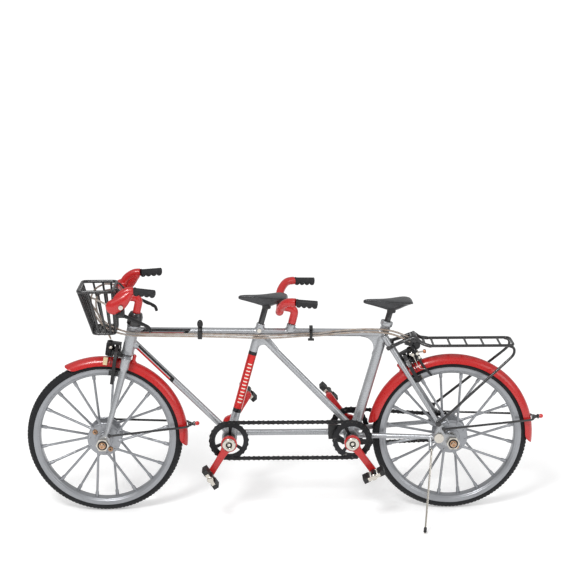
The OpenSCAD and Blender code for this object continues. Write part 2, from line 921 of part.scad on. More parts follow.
// Arm that reaches over the mudguard's edge, with its pad; tail is the radius of its low end
module brake_arm(axle, angle, side, tail) {
    outline = [
        [1.3, 50], [2.6, 50.2], [4.7, 47.8], [6.9, 44.6], [6.9, 37.4], [6.3, tail],
        [5.5, tail], [5.2, 35.2], [5.2, 37.6], [5.4, 43.4], [3, 45.7], [1.9, 47]
    ];
    at_wheel(axle, angle)
        mirror([0, side < 0 ? 1 : 0, 0]) {
            color(BLACK)
                difference() {
                    translate([-0.9, 0, 0])
                        rotate([90, 0, 90])
                            linear_extrude(1.8)
                                difference() {
                                    union() {
                                        polygon(outline);
                                        translate([brake_pivot_y, brake_pivot_r])
                                            circle(r = 1.5);
                                    }
                                    translate([brake_pivot_y, brake_pivot_r])
                                        circle(r = brake_pin_r + running_gap);
                                }
                }
            color(PAD)
                translate([-2.4, pad_face_y, 35])
                    cube([4.8, 5.2 - seat_gap - pad_face_y, 2.3]);
        }
}

module front_brake_body() {
    brake_body(front_axle_at, front_brake_angle, 2.1);
    // lug under the head tube, against the fork crown
    color(BLACK)
        on_steering()
            translate([-4.3, -2.2, 44.6])
                cube([2.4, 4.4, 1.7]);
}
module rear_brake_body() { brake_body(rear_axle_at, rear_brake_angle, -2.3); }
module front_left_brake_arm() { brake_arm(front_axle_at, front_brake_angle, -1, 30.6); }
module front_right_brake_arm() { brake_arm(front_axle_at, front_brake_angle, 1, 30.6); }
module rear_left_brake_arm() { brake_arm(rear_axle_at, rear_brake_angle, -1, 34.8); }
module rear_right_brake_arm() { brake_arm(rear_axle_at, rear_brake_angle, 1, 34.8); }

// ---- Mudguards ----

module guard_at(p, start, span) {
    color(RED)
        turned(p, span, start)
            difference() {
                translate([guard_core_r, 0])
                    circle(r = guard_out);
                translate([guard_core_r, 0])
                    circle(r = guard_out - guard_skin);
                translate([guard_core_r - 2 * guard_out, -guard_out - 1])
                    square([2 * guard_out, 2 * guard_out + 2]);
            }
}

// Point on the crown of a mudguard, raised by the given height
function guard_top(p, angle, up) = p + rings(angle, guard_core_r + guard_out + up);

module front_guard() {
    guard_at(front_axle_at, -6.7, 124);
    color(RED)
        rod(guard_top(front_axle_at, 67, -0.3), guard_top(front_axle_at, 68.5, 3.4), 0.9);
}

module rear_guard() {
    guard_at(rear_axle_at, -6, 177);
    color(RED)
        rod(guard_top(rear_axle_at, 126, -0.3), guard_top(rear_axle_at, 126, 3.2), 0.9);
}

// Wire stay from both dropouts round the back of a mudguard, and its clamp
module guard_stay(axle, start, angle) {
    back = guard_top(axle, angle, 0.75);
    color(BLACK) {
        both_sides()
            wire([back, back + [0, -3.6, 0], back + [-1.2, -5.2, 0], start], 0.5);
        wire([back + [0.2, 0, 0], back + [3, 0, 0.3]], 0.9);
    }
}

module front_guard_stay() {
    guard_stay(front_axle_at, [-87.4, -dropout_y - dropout_t, 45.6], 8);
}

module rear_guard_stay() {
    guard_stay(rear_axle_at, [86.1, -rear_dropout_y - dropout_t, 48.4], 11.5);
}

module reflector(axle, angle) {
    color(RED)
        translate(guard_top(axle, angle, 0.75) + [4.6, 0, 0.46])
            sphere(r = 1.15);
}

module front_reflector() { reflector(front_axle_at, 8); }
module rear_reflector() { reflector(rear_axle_at, 11.5); }

// ---- Rack, basket and kickstand ----

module rack() {
    z = 91.3;
    rail_y = 8;
    front_x = 78;
    back_x = 122.4;
    bars = 5;
    foot = [83.2, -15.5, 51.6];
    strap_foot = flip_y(mix(stay_top, stay_end, 0.1));
    color(BLACK) {
        both_sides() {
            wire([
                [front_x, -rail_y, z], [back_x - 2.2, -rail_y, z], [back_x - 0.5, -rail_y, z - 0.9],
                [back_x, -rail_y - 0.3, z - 2.6], [back_x - 1.2, -rail_y - 0.6, z - 4.6], foot
            ], 0.75);
            plate(foot.y, 1.3)
                translate([foot.x, foot.z])
                    circle(r = 1.5, $fn = 16);
            wire([strap_foot + [1.2, -1.8, 0.6], [70.2, -4.2, 95.8], [front_x, -rail_y, z]], 0.8);
            // clamp round the seat stay
            difference() {
                rod(
                    flip_y(mix(stay_top, stay_end, 0.08)), flip_y(mix(stay_top, stay_end, 0.125)),
                    2.5, $fn = 24
                );
                rod(flip_y(stay_top), flip_y(stay_end), stay_r + 0.05, $fn = 24);
            }
        }
        for (i = [0:bars]) {
            x = mix(front_x + 2, back_x - 4, i / bars);
            wire([[x, -rail_y, z], [x, rail_y, z]], 0.55);
        }
    }
}

module basket() {
    top_z = 122;
    low_z = 99.2;
    top = [[-101.6, 12], [-83.6, 12]];
    low = [[-94.6, 9], [-83.4, 9]];
    front_bars = 5;
    side_bars = 3;
    function rim(i, side) = [top[i].x, side * top[i].y, top_z];
    function floor_at(i, side) = [low[i].x, side * low[i].y, low_z];
    color(BLACK) {
        // rim and floor hoops
        for (hoop = [[rim(0, -1), rim(0, 1), rim(1, 1), rim(1, -1)],
                     [floor_at(0, -1), floor_at(0, 1), floor_at(1, 1), floor_at(1, -1)]])
            for (i = [0:3]) {
                rod(hoop[i], hoop[(i + 1) % 4], 0.75);
                translate(hoop[i])
                    sphere(r = 0.76);
            }
        // upright bars: front, sides, and two corners and two bars at the back
        for (i = [0:front_bars - 1])
            rod(mix(rim(0, -1), rim(0, 1), i / (front_bars - 1)),
                mix(floor_at(0, -1), floor_at(0, 1), i / (front_bars - 1)), 0.5);
        for (side = [-1, 1], i = [1:side_bars])
            rod(mix(rim(0, side), rim(1, side), i / side_bars),
                mix(floor_at(0, side), floor_at(1, side), i / side_bars), 0.5);
        for (y = [-5.4, 5.4])
            rod([top[1].x, y, top_z], [low[1].x, y, low_z], 0.5);
        // floor bars
        for (y = [-5.4, -1.8, 1.8, 5.4])
            rod([low[0].x, y, low_z], [low[1].x, y, low_z], 0.5);
        // hooks round the handlebar
        both_sides()
            difference() {
                union() {
                    cross_rod(front_cross, -7, -5, 2.9);
                    rod(front_cross + [0, -6, 2.4], [top[1].x, -6, top_z], 0.7);
                }
                cross_rod(front_cross, -8, -4, bar_r + 0.12);
            }
    }
}

module kickstand() {
    knee = stand_pivot + stand_along(1.3) + [-0.1, -0.4, -2.4];
    color(NICKEL) {
        rod(stand_pivot + stand_along(-2.6), stand_pivot + stand_along(0.9), stand_pin_r);
        wire([stand_pivot + stand_along(0.7), stand_pivot + stand_along(1.3), knee, stand_foot], 0.5);
    }
    color(BLACK)
        wire([mix(stand_foot, knee, 0.08), stand_foot], 0.8);
}

// ---- Cables ----

// Upper cable along the frame, from beside the head tube to the rear brake
function upper_cable() = [
    [-79.6, -4.6, 99.3], [-76, -4.7, 98.6], [-69, -3.5, 97.8], [-60, -2.8, 97.3],
    [-43, -2.8, 97.05], [-37, -2.8, 96.95], [-24, -2.9, 96.6], [-10, -3.2, 96.2],
    [2, -3.1, 96.3], [14, -2.8, 96.9], [21, -2.8, 97], [31, -2.9, 98.3],
    [43, -3.2, 99.2], [54.5, -4.2, 98.9], [62, -3, 97.6], [66.5, -1.4, 96]
];

// Lower cable, beside the upper one
function lower_cable() = [
    [-79.4, -5.5, 97.8], [-76, -5.4, 97.4], [-69, -3.9, 96.6], [-60, -3, 96.15],
    [-43, -3, 95.9], [-37, -3, 95.8], [-24, -3.2, 95.4], [-10, -3.6, 95],
    [2, -3.4, 95.1], [14, -3, 95.75], [21, -3, 95.85], [31, -3.8, 97.1],
    [43, -4.4, 98], [54.5, -5.3, 97.7], [62, -4.4, 96.4], [66.8, -2.6, 94.8]
];

module frame_cables() {
    color(CABLE) {
        wire(upper_cable(), cable_r);
        wire(lower_cable(), cable_r);
    }
}

// Cables that turn with the handlebar: two to the head tube and one to the front brake
module steering_cables() {
    color(CABLE) {
        wire([
            [-86.3, -21.6, 118], [-91, -17.5, 119.2], [-94.8, -10.5, 118.6], [-96.4, -4, 116],
            [-94, -1.2, 110], [-89, -2, 103.6], [-82.9, -3.9, 100.6]
        ], cable_r);
        wire([
            [-86.3, 21.6, 118], [-91, 17.5, 119.2], [-95.4, 10.5, 117.8], [-96.6, 3, 113.6],
            [-93.4, -3.4, 107], [-88.6, -4, 101.4], [-83, -5.1, 98.9]
        ], cable_r);
        wire([
            [-86.3, 20.2, 115.8], [-90.5, 14, 116.4], [-94, 6, 114.4], [-93.2, 1.2, 108],
            [-89.2, 0, 100], [-86.7, 0, 94.4]
        ], cable_r);
    }
}

// Black clips that hold both cables to the top tube
module cable_clips() {
    upper = upper_cable();
    lower = lower_cable();
    color(BLACK)
        for (i = [4, 9]) {
            x = (upper[i].x + upper[i + 1].x) / 2;
            difference() {
                union() {
                    rod([x - 1.7, 0, top_tube_z(x - 1.7)], [x + 1.7, 0, top_tube_z(x + 1.7)], 3);
                    translate([x - 1.7, -4.2, top_tube_z(x) - 3.2])
                        cube([3.4, 2.8, 4.2]);
                }
                rod([-60, 0, top_tube_z(-60)], [40, 0, top_tube_z(40)], top_tube_r + seat_gap);
                rod(upper[i], upper[i + 1], cable_r + seat_gap);
                rod(lower[i], lower[i + 1], cable_r + seat_gap);
            }
        }
}

// ---- Saddles ----

// Closed saddle: a narrow nose, a wide back and a keel over the post
module saddle_at(post_foot, tilt, top_z) {
    keel = on_seat(post_foot, tilt, top_z - 5);
    nose_x = keel.x - saddle_len * 0.56;
    tail_x = keel.x + saddle_len * 0.4;
    half = saddle_w / 2;
    color(BLACK)
        hull() {
            translate([nose_x, 0, top_z - 1.3])
                sphere(r = 0.9, $fn = 16);
            for (side = [-1, 1])
                translate([tail_x - 1, side * (half - 1.2), top_z - 1.2])
                    sphere(r = 1.1, $fn = 16);
            translate([tail_x, 0, top_z - 1.1])
                sphere(r = 1, $fn = 16);
            translate([keel.x, 0, top_z - 4.4])
                cylinder(r1 = 2.2, r2 = 4.6, h = 1.6, $fn = 24);
        }
}

module post_at(foot, tilt, low_z, top_z) {
    color(BLACK)
        rod(on_seat(foot, tilt, low_z), on_seat(foot, tilt, top_z), post_r);
}

module front_seatpost() {
    post_at(front_seat_foot, front_seat_tilt, 88, front_saddle_z - 4);
}

module rear_seatpost() {
    post_at(rear_seat_foot, rear_seat_tilt, 88, rear_saddle_z - 4);
}

module front_saddle() { saddle_at(front_seat_foot, front_seat_tilt, front_saddle_z); }
module rear_saddle() { saddle_at(rear_seat_foot, rear_seat_tilt, rear_saddle_z); }

frame_tubes();
bearings();
seat_clamp_screws();
stoker_bar();
stoker_grips();
rear_axle();
rear_guard();
rear_guard_stay();
rear_reflector();
rack();
rear_brake_body();
frame_cables();
cable_clips();
timing_chain();
drive_chain();
chain_guide();
fork();
headset_locknut();
handlebar();
front_grips();
lever_hoods();
lever_clamps();
basket();
front_brake_body();
steering_cables();
front_axle();
front_guard();
front_guard_stay();
front_reflector();
front_tyre();
front_rim();
front_spokes();
front_hub();
rear_tyre();
rear_rim();
rear_spokes();
rear_hub();
sprocket();
front_spindle();
front_crank_arms();
front_timing_ring();
rear_spindle();
rear_crank_arms();
rear_timing_ring();
drive_ring();
front_left_pedal();
front_right_pedal();
rear_left_pedal();
rear_right_pedal();
left_brake_lever();
right_brake_lever();
front_left_brake_arm();
front_right_brake_arm();
rear_left_brake_arm();
rear_right_brake_arm();
kickstand();
front_seatpost();
front_saddle();
rear_seatpost();
rear_saddle();
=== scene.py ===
"""Looks of a desk-model tandem bicycle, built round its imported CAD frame.

Metres, +Z up, the front wheel toward -X and the timing chain on the left side, toward -Y.
"""

import json
import math

import bmesh
import bpy
from mathutils import Matrix, Vector


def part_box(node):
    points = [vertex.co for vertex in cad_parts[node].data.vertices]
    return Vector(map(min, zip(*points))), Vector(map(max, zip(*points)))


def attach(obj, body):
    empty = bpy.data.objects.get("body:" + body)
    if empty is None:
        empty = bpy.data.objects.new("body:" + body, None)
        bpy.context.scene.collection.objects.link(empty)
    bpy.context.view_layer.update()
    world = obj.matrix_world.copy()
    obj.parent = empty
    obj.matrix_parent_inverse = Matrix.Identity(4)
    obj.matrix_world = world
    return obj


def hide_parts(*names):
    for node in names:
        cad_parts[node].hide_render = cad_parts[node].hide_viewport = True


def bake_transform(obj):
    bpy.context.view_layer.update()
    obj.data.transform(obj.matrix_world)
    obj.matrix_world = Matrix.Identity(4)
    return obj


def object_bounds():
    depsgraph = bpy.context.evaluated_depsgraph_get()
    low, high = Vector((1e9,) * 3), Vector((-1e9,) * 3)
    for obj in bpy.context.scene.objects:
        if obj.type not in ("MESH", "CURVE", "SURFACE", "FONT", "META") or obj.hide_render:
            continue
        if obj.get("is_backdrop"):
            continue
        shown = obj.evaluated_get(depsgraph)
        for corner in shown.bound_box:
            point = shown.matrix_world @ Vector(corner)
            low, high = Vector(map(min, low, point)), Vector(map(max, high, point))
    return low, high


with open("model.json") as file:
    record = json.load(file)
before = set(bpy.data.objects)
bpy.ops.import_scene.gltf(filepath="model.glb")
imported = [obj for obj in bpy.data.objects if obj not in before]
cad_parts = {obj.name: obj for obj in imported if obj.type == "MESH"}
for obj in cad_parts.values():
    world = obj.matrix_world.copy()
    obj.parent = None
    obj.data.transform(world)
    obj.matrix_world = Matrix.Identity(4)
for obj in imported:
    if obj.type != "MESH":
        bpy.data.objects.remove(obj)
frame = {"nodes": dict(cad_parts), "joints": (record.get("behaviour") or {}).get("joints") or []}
CAD_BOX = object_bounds()
NODES = frame["nodes"]
JOINTS = {joint["name"]: joint for joint in frame["joints"]}
MM = 0.001
UP = Vector((0, 0, 1))
LEFT = Vector((0, -1, 0))
RIGHT = Vector((0, 1, 0))
FULL_TURN = 2 * math.pi
SIDES = {"left": -1, "right": 1}


# ---------------------------------------------------------------- places

def mm(x, y, z):
    """A point given in millimetres."""
    return Vector((x, y, z)) * MM


def pivot(joint):
    """A joint's place at rest."""
    return Vector(JOINTS[joint]["pos_m"])


def across(point, side=1):
    """The point on the side wanted: -1 keeps a left-hand point, 1 mirrors it to the right."""
    return Vector((point.x, -point.y * side, point.z))


def around(angle, radius):
    """An offset in the wheel's plane, with the angle counted from the rear over the top."""
    turn = math.radians(angle)
    return Vector((math.cos(turn), 0, math.sin(turn))) * radius


AXLES = {"front": pivot("front_wheel_spin"), "rear": pivot("rear_wheel_spin")}
BRACKETS = {"front": pivot("front_crank_spin"), "rear": pivot("rear_crank_spin")}
STEER_FOOT = pivot("steering")
STEER_AXIS = Vector(JOINTS["steering"]["axis"]).normalized()
WHEEL_CARRIER = {"front": "steering", "rear": "frame"}


def circle(count):
    """Evenly spaced angles round a full turn, in radians."""
    return [FULL_TURN * k / count for k in range(count)]


def on_steering(height):
    """A point on the steering axis, at a height in millimetres along it."""
    return STEER_FOOT + STEER_AXIS * height * MM


# ---------------------------------------------------------------- paths

def smooth_path(points, steps=8):
    """A curve through all the points."""
    last = len(points) - 1
    path = []
    for i in range(last):
        p0, p1 = points[max(i - 1, 0)], points[i]
        p2, p3 = points[i + 1], points[min(i + 2, last)]
        for k in range(steps):
            t = k / steps
            bent = 2 * p0 - 5 * p1 + 4 * p2 - p3
            twist = 3 * p1 - p0 - 3 * p2 + p3
            path.append(0.5 * (2 * p1 + (p2 - p0) * t + bent * t * t + twist * t ** 3))
    path.append(points[-1])
    return path


def bend_at(before, corner, after, bend, steps):
    """The rounded corner between two straight legs."""
    a = corner + (before - corner).normalized() * min(bend, (before - corner).length * 0.48)
    b = corner + (after - corner).normalized() * min(bend, (after - corner).length * 0.48)
    curve = []
    for k in range(steps + 1):
        t = k / steps
        curve.append((1 - t) ** 2 * a + 2 * t * (1 - t) * corner + t * t * b)
    return curve


def wire_path(points, bend=2 * MM, steps=6, closed=False):
    """Straight legs with a round bend at each corner."""
    count = len(points)
    if closed:
        path = []
        for i in range(count):
            path += bend_at(points[i - 1], points[i], points[(i + 1) % count], bend, steps)
        return path
    path = [points[0]]
    for i in range(1, count - 1):
        path += bend_at(points[i - 1], points[i], points[i + 1], bend, steps)
    path.append(points[-1])
    return path


def cross_frames(path, closed):
    """Two cross directions at each point of a path, carried along it without twist."""
    count = len(path)
    found = []
    side = None
    for i in range(count):
        before = path[i - 1] if i or closed else path[0]
        after = path[(i + 1) % count] if i < count - 1 or closed else path[-1]
        tangent = (after - before).normalized()
        if side is None:
            side = tangent.cross(UP)
            side = side if side.length > 0.1 else tangent.cross(LEFT)
        side = (side - tangent * side.dot(tangent)).normalized()
        found.append((side, tangent.cross(side), tangent))
    return found


# ---------------------------------------------------------------- mesh work

def join_rings(bm, rings, closed=False, material=0, marks=None):
    """Faces between neighbouring rings of vertices, with a cap on the first and last ring
    unless they close into a loop. marks gives each ring's length for the UVs."""
    layer = bm.loops.layers.uv.verify()
    sides = len(rings[0])
    count = len(rings) if closed else len(rings) - 1
    for i in range(count):
        low, high = rings[i], rings[(i + 1) % len(rings)]
        for k in range(sides):
            n = (k + 1) % sides
            face = bm.faces.new((low[k], low[n], high[n], high[k]))
            face.material_index = material
            if marks:
                ends = (marks[i], marks[i], marks[i + 1], marks[i + 1])
                for loop, u, v in zip(face.loops, (k, k + 1, k + 1, k), ends):
                    loop[layer].uv = (u / sides, v)
    if not closed:
        for ring in (rings[0], rings[-1]):
            bm.faces.new(ring).material_index = material


DOME_ANGLES = (75, 50, 25)


def dome(spot, way):
    """Shrinking rings that round off the first (way -1) or last (way 1) end of a bar."""
    centre, axes, radius, mark = spot
    rings = []
    for angle in DOME_ANGLES:
        turn = math.radians(angle)
        shift = axes[2] * radius * math.sin(turn)
        rings.append((centre + shift * way, axes, radius * math.cos(turn), mark))
    return rings[::-way]


def tube(bm, path, radius, sides=16, closed=False, round_ends=True, material=0, flat=1.0):
    """A round bar along a path. radius is a number or a function of the share of its length;
    flat below 1 squeezes the bar in its second cross direction."""
    width = radius if callable(radius) else lambda share: radius
    frames = cross_frames(path, closed)
    marks = [0.0]
    for a, b in zip(path, path[1:]):
        marks.append(marks[-1] + (b - a).length)
    spots = [(p, f, width(m / marks[-1]), m) for p, f, m in zip(path, frames, marks)]
    if round_ends and not closed:
        spots = dome(spots[0], -1) + spots + dome(spots[-1], 1)
    rings = []
    for centre, (u, v, _), r, _ in spots:
        rings.append([
            bm.verts.new(centre + u * r * math.cos(turn) + v * r * flat * math.sin(turn))
            for turn in circle(sides)])
    lengths = [spot[3] for spot in spots]
    join_rings(bm, rings, closed, material, None if closed else lengths)


def lathe(bm, profile, origin, axis, sides=48, closed=False, material=0, carve=None):
    """A profile of (radius, height) points in millimetres, turned about an axis. carve gives
    a change of radius for a profile point and a step round the turn."""
    axis = axis.normalized()
    u = axis.orthogonal().normalized()
    v = axis.cross(u)
    rings = []
    for j, (radius, height) in enumerate(profile):
        ring = []
        for k, turn in enumerate(circle(sides)):
            r = radius + (carve(j, k) if carve else 0)
            out = u * math.cos(turn) + v * math.sin(turn)
            ring.append(bm.verts.new(origin + (out * r + axis * height) * MM))
        rings.append(ring)
    join_rings(bm, rings, closed, material)


def both_sides(half):
    """A closed profile, from the half of it at positive heights."""
    return half + [(radius, -height) for radius, height in reversed(half)]


def slab(bm, outline, place, thickness, material=0):
    """A flat plate: an outline of (x, z) points in millimetres, thick along the place's Y."""
    half = thickness / 2
    rings = []
    for y in (-half, half):
        rings.append([bm.verts.new(place @ mm(x, y, z)) for x, z in outline])
    join_rings(bm, rings, material=material)


def block(bm, low, high, place, material=0):
    """A box between two corners in millimetres."""
    outline = [(low[0], low[2]), (high[0], low[2]), (high[0], high[2]), (low[0], high[2])]
    middle = place @ Matrix.Translation(mm(0, (low[1] + high[1]) / 2, 0))
    slab(bm, outline, middle, high[1] - low[1], material)


def arc(centre, radius, start, end, steps):
    """Points along an arc, angles in degrees."""
    points = []
    for i in range(steps + 1):
        turn = math.radians(start + (end - start) * i / steps)
        points.append((centre[0] + radius * math.cos(turn), centre[1] + radius * math.sin(turn)))
    return points


def placed(origin, x_axis, y_axis=None):
    """A matrix with the given X direction, and Y as close as can be to the one given."""
    x = x_axis.normalized()
    y = y_axis or RIGHT
    y = (y - x * y.dot(x)).normalized()
    z = x.cross(y)
    return Matrix.Translation(origin) @ Matrix((x, y, z)).transposed().to_4x4()


def fused(bm, voxel, passes):
    """The shapes in bm as one smooth skin, like a casting, thinned to half its faces."""
    mesh = bpy.data.meshes.new("rough")
    bm.to_mesh(mesh)
    bm.free()
    obj = bpy.data.objects.new("rough", mesh)
    bpy.context.scene.collection.objects.link(obj)
    remesh = obj.modifiers.new("skin", "REMESH")
    remesh.mode = "VOXEL"
    remesh.voxel_size = voxel * MM
    relax = obj.modifiers.new("relax", "SMOOTH")
    relax.factor = 0.5
    relax.iterations = passes
    thin = obj.modifiers.new("thin", "DECIMATE")
    thin.ratio = 0.5
    graph = bpy.context.evaluated_depsgraph_get()
    done = bpy.data.meshes.new_from_object(obj.evaluated_get(graph))
    bpy.data.objects.remove(obj)
    bpy.data.meshes.remove(mesh)
    result = bmesh.new()
    result.from_mesh(done)
    bpy.data.meshes.remove(done)
    return result


def piece(name, bm, materials, body, stands_for=(), bevel=0, levels=0, sharp=38):
    """One visible piece of the object, riding on a body."""
    bmesh.ops.recalc_face_normals(bm, faces=bm.faces)
    mesh = bpy.data.meshes.new(name)
    bm.to_mesh(mesh)
    bm.free()
    for material in materials if isinstance(materials, (list, tuple)) else [materials]:
        mesh.materials.append(material)
    mesh.shade_smooth()
    mesh.set_sharp_from_angle(angle=math.radians(sharp))
    obj = bpy.data.objects.new(name, mesh)
    bpy.context.scene.collection.objects.link(obj)
    if bevel:
        soften(obj, bevel, sharp)
    if levels:
        smooth = obj.modifiers.new("subdivision", "SUBSURF")
        smooth.levels = levels
        smooth.render_levels = levels
    if isinstance(body, tuple):
        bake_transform(obj)
    else:
        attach(obj, body)
    if stands_for:
        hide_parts(*stands_for)
    return obj


def soften(obj, width, sharp=38, segments=2):
    """Rounded edges, with the width in millimetres."""
    bevel = obj.modifiers.new("soft_edges", "BEVEL")
    bevel.width = width * MM
    bevel.segments = segments
    bevel.limit_method = "ANGLE"
    bevel.angle_limit = math.radians(sharp)
    bevel.harden_normals = True


def dress(node, materials, bevel=0.12, choose=None):
    """Gives a CAD node its material and soft edges. choose picks a material from a face's
    middle."""
    obj = NODES[node]
    materials = materials if isinstance(materials, (list, tuple)) else [materials]
    obj.data.materials.clear()
    for material in materials:
        obj.data.materials.append(material)
    if choose:
        for face in obj.data.polygons:
            face.material_index = choose(face.center)
    if bevel:
        weld = obj.modifiers.new("weld", "WELD")
        weld.merge_threshold = 0.001 * MM
        soften(obj, bevel, 30)


# ---------------------------------------------------------------- materials

def srgb(red, green, blue):
    """A colour given as screen values from 0 to 255, in linear light."""
    return [((c / 255 + 0.055) / 1.055) ** 2.4 if c > 10 else c / 255 / 12.92
            for c in (red, green, blue)]


class Finish:
    """A procedural material that is built up step by step."""

    def __init__(self, name):
        self.material = bpy.data.materials.new(name)
        self.material.use_nodes = True
        self.nodes = self.material.node_tree.nodes
        self.links = self.material.node_tree.links
        self.surface = self.nodes["Principled BSDF"]
        coords = self.nodes.new("ShaderNodeTexCoord")
        self.place = coords.outputs["Object"]
        self.uv = coords.outputs["UV"]

    def feed(self, socket, value):
        """Links a socket, or sets it from a number or a colour."""
        if isinstance(value, bpy.types.NodeSocket):
            self.links.new(value, socket)
        elif isinstance(value, (list, tuple)) and socket.type == "RGBA":
            socket.default_value = (*value, 1)
        else:
            socket.default_value = value

    def math(self, operation, a, b=0.0):
        node = self.nodes.new("ShaderNodeMath")
        node.operation = operation
        self.feed(node.inputs[0], a)
        self.feed(node.inputs[1], b)
        return node.outputs[0]

    def noise(self, scale, detail=3.0):
        node = self.nodes.new("ShaderNodeTexNoise")
        self.feed(node.inputs["Vector"], self.place)
        self.feed(node.inputs["Scale"], scale)
        self.feed(node.inputs["Detail"], detail)
        return node.outputs["Fac"]

    def remap(self, value, low, high, new_low, new_high):
        node = self.nodes.new("ShaderNodeMapRange")
        for name, number in (("From Min", low), ("From Max", high),
                             ("To Min", new_low), ("To Max", new_high)):
            self.feed(node.inputs[name], number)
        self.feed(node.inputs["Value"], value)
        return node.outputs["Result"]

    def mix(self, factor, a, b):
        node = self.nodes.new("ShaderNodeMix")
        node.data_type = "RGBA"
        self.feed(node.inputs["Factor"], factor)
        self.feed(node.inputs[6], a)
        self.feed(node.inputs[7], b)
        return node.outputs[2]

    def along(self, direction, origin):
        """How far a point lies from origin in a direction, in millimetres."""
        shift = self.nodes.new("ShaderNodeVectorMath")
        shift.operation = "SUBTRACT"
        self.feed(shift.inputs[0], self.place)
        self.feed(shift.inputs[1], tuple(origin))
        dot = self.nodes.new("ShaderNodeVectorMath")
        dot.operation = "DOT_PRODUCT"
        self.feed(dot.inputs[0], shift.outputs[0])
        self.feed(dot.inputs[1], tuple(direction))
        return self.math("MULTIPLY", dot.outputs["Value"], 1 / MM)

    def between(self, value, low, high):
        return self.math(
            "MULTIPLY", self.math("GREATER_THAN", value, low), self.math("LESS_THAN", value, high))

    def both(self, *masks):
        result = masks[0]
        for mask in masks[1:]:
            result = self.math("MULTIPLY", result, mask)
        return result

    def finish(self, colour, roughness, metallic=0.0, coat=0.0, height=None, depth=0.02):
        self.feed(self.surface.inputs["Base Color"], colour)
        self.feed(self.surface.inputs["Roughness"], roughness)
        self.feed(self.surface.inputs["Metallic"], metallic)
        self.feed(self.surface.inputs["Coat Weight"], coat)
        self.feed(self.surface.inputs["Coat Roughness"], 0.12)
        if height is not None:
            bump = self.nodes.new("ShaderNodeBump")
            self.feed(bump.inputs["Strength"], 0.6)
            self.feed(bump.inputs["Distance"], depth * MM)
            self.feed(bump.inputs["Height"], height)
            self.links.new(bump.outputs["Normal"], self.surface.inputs["Normal"])
        return self.material


def shades(colour, spread):
    return [c * (1 - spread) for c in colour], [min(1, c * (1 + spread)) for c in colour]


def coated(name, colour, roughness, metallic, coat, spread, grain, depth, worn=None, wear=0.0,
           decorate=None):
    """Paint, plastic or plate: soft tone changes, a fine grain, and small worn specks."""
    look = Finish(name)
    dark, light = shades(colour, spread)
    tone = look.mix(look.remap(look.noise(90, 4), 0.35, 0.65, 0, 1), dark, light)
    if decorate:
        tone = decorate(look, tone)
    fine = look.noise(grain, 3)
    rough = look.remap(fine, 0.3, 0.7, roughness * 0.8, roughness * 1.2)
    if wear:
        speck = look.remap(look.noise(430, 6), 0.63, 0.72, 0, wear)
        tone = look.mix(speck, tone, worn)
        rough = look.math("ADD", rough, look.math("MULTIPLY", speck, 0.15))
    return look.finish(tone, rough, metallic, coat, fine, depth)


RED_PAINT = srgb(196, 32, 30)
BLACK_PAINT = srgb(30, 30, 32)
PALE_PAINT = srgb(226, 218, 206)
SILVER_PAINT = srgb(164, 166, 169)


def tube_coords(look, start, end):
    """Along a tube, and across it in the middle plane, in millimetres."""
    way = (end - start).normalized()
    return look.along(way, start), look.along(LEFT.cross(way), start)


def stripe_pair(look, tone, start, end, span, lean, black, red):
    """A black stripe over a red one, cut off on a slant, with a black edge at the far end."""
    along, height = tube_coords(look, start, end)
    slanted = look.math("SUBTRACT", along, look.math("MULTIPLY", height, -lean))
    run = look.between(slanted, *span)
    tone = look.mix(look.both(run, look.between(height, *black)), tone, BLACK_PAINT)
    tone = look.mix(look.both(run, look.between(height, *red)), tone, RED_PAINT)
    tip = look.between(slanted, span[1], span[1] + 2.2)
    return look.mix(look.both(tip, look.between(height, red[0], black[1])), tone, BLACK_PAINT)


TOP_TUBE = (mm(-75.3, 0, 98.2), mm(54, 0, 96.4))
DOWN_TUBE = (on_steering(54.8), BRACKETS["front"])
SEAT_TUBE = (BRACKETS["front"] + mm(0.4, 0, 0), mm(-8.4, 0, 102))
REAR_SEAT_TUBE = (BRACKETS["rear"] + mm(1.5, 0, 0), mm(56.7, 0, 100.8))


def frame_paint(look, tone):
    """Stripes on the top and down tubes, and the red panel on the front seat tube."""
    panel, panel_edge, bars_run = (14.7, 44.9), (12.5, 46.8), (17.4, 41.2)
    bar_pitch = 1.95
    tone = stripe_pair(look, tone, *TOP_TUBE, (4.5, 27), -0.9, (0.35, 1.75), (-1.2, 0.05))
    below = look.math("LESS_THAN", look.along(UP, mm(0, 0, 92.2)), 0)
    bare = tone
    tone = stripe_pair(look, tone, *DOWN_TUBE, (5.5, 29), 0.3, (0.1, 1.2), (-1.5, -0.3))
    tone = look.mix(below, bare, tone)
    along, height = tube_coords(look, *SEAT_TUBE)
    inside = look.between(look.along(LEFT, mm(0, 0, 0)), -2.6, 2.6)
    near = look.both(look.between(height, -2.6, 2.45), inside)
    tone = look.mix(look.both(near, look.between(along, *panel_edge)), tone, BLACK_PAINT)
    tone = look.mix(look.both(near, look.between(along, *panel)), tone, RED_PAINT)
    # a row of plain pale bars stands for the lettering
    step = look.math("MODULO", along, bar_pitch)
    bars = look.both(look.between(step, 0.5, 1.1), look.between(height, -1.15, 1.0),
                     look.between(along, *bars_run))
    tone = look.mix(look.both(bars, inside), tone, PALE_PAINT)
    edge = look.both(look.between(height, -2.45, -2.05), look.between(along, *panel))
    tone = look.mix(look.both(edge, inside), tone, PALE_PAINT)
    along, height = tube_coords(look, *REAR_SEAT_TUBE)
    line = look.both(look.between(height, -2.5, -2.1), look.between(along, 8, 44))
    return look.mix(line, tone, srgb(140, 40, 44))


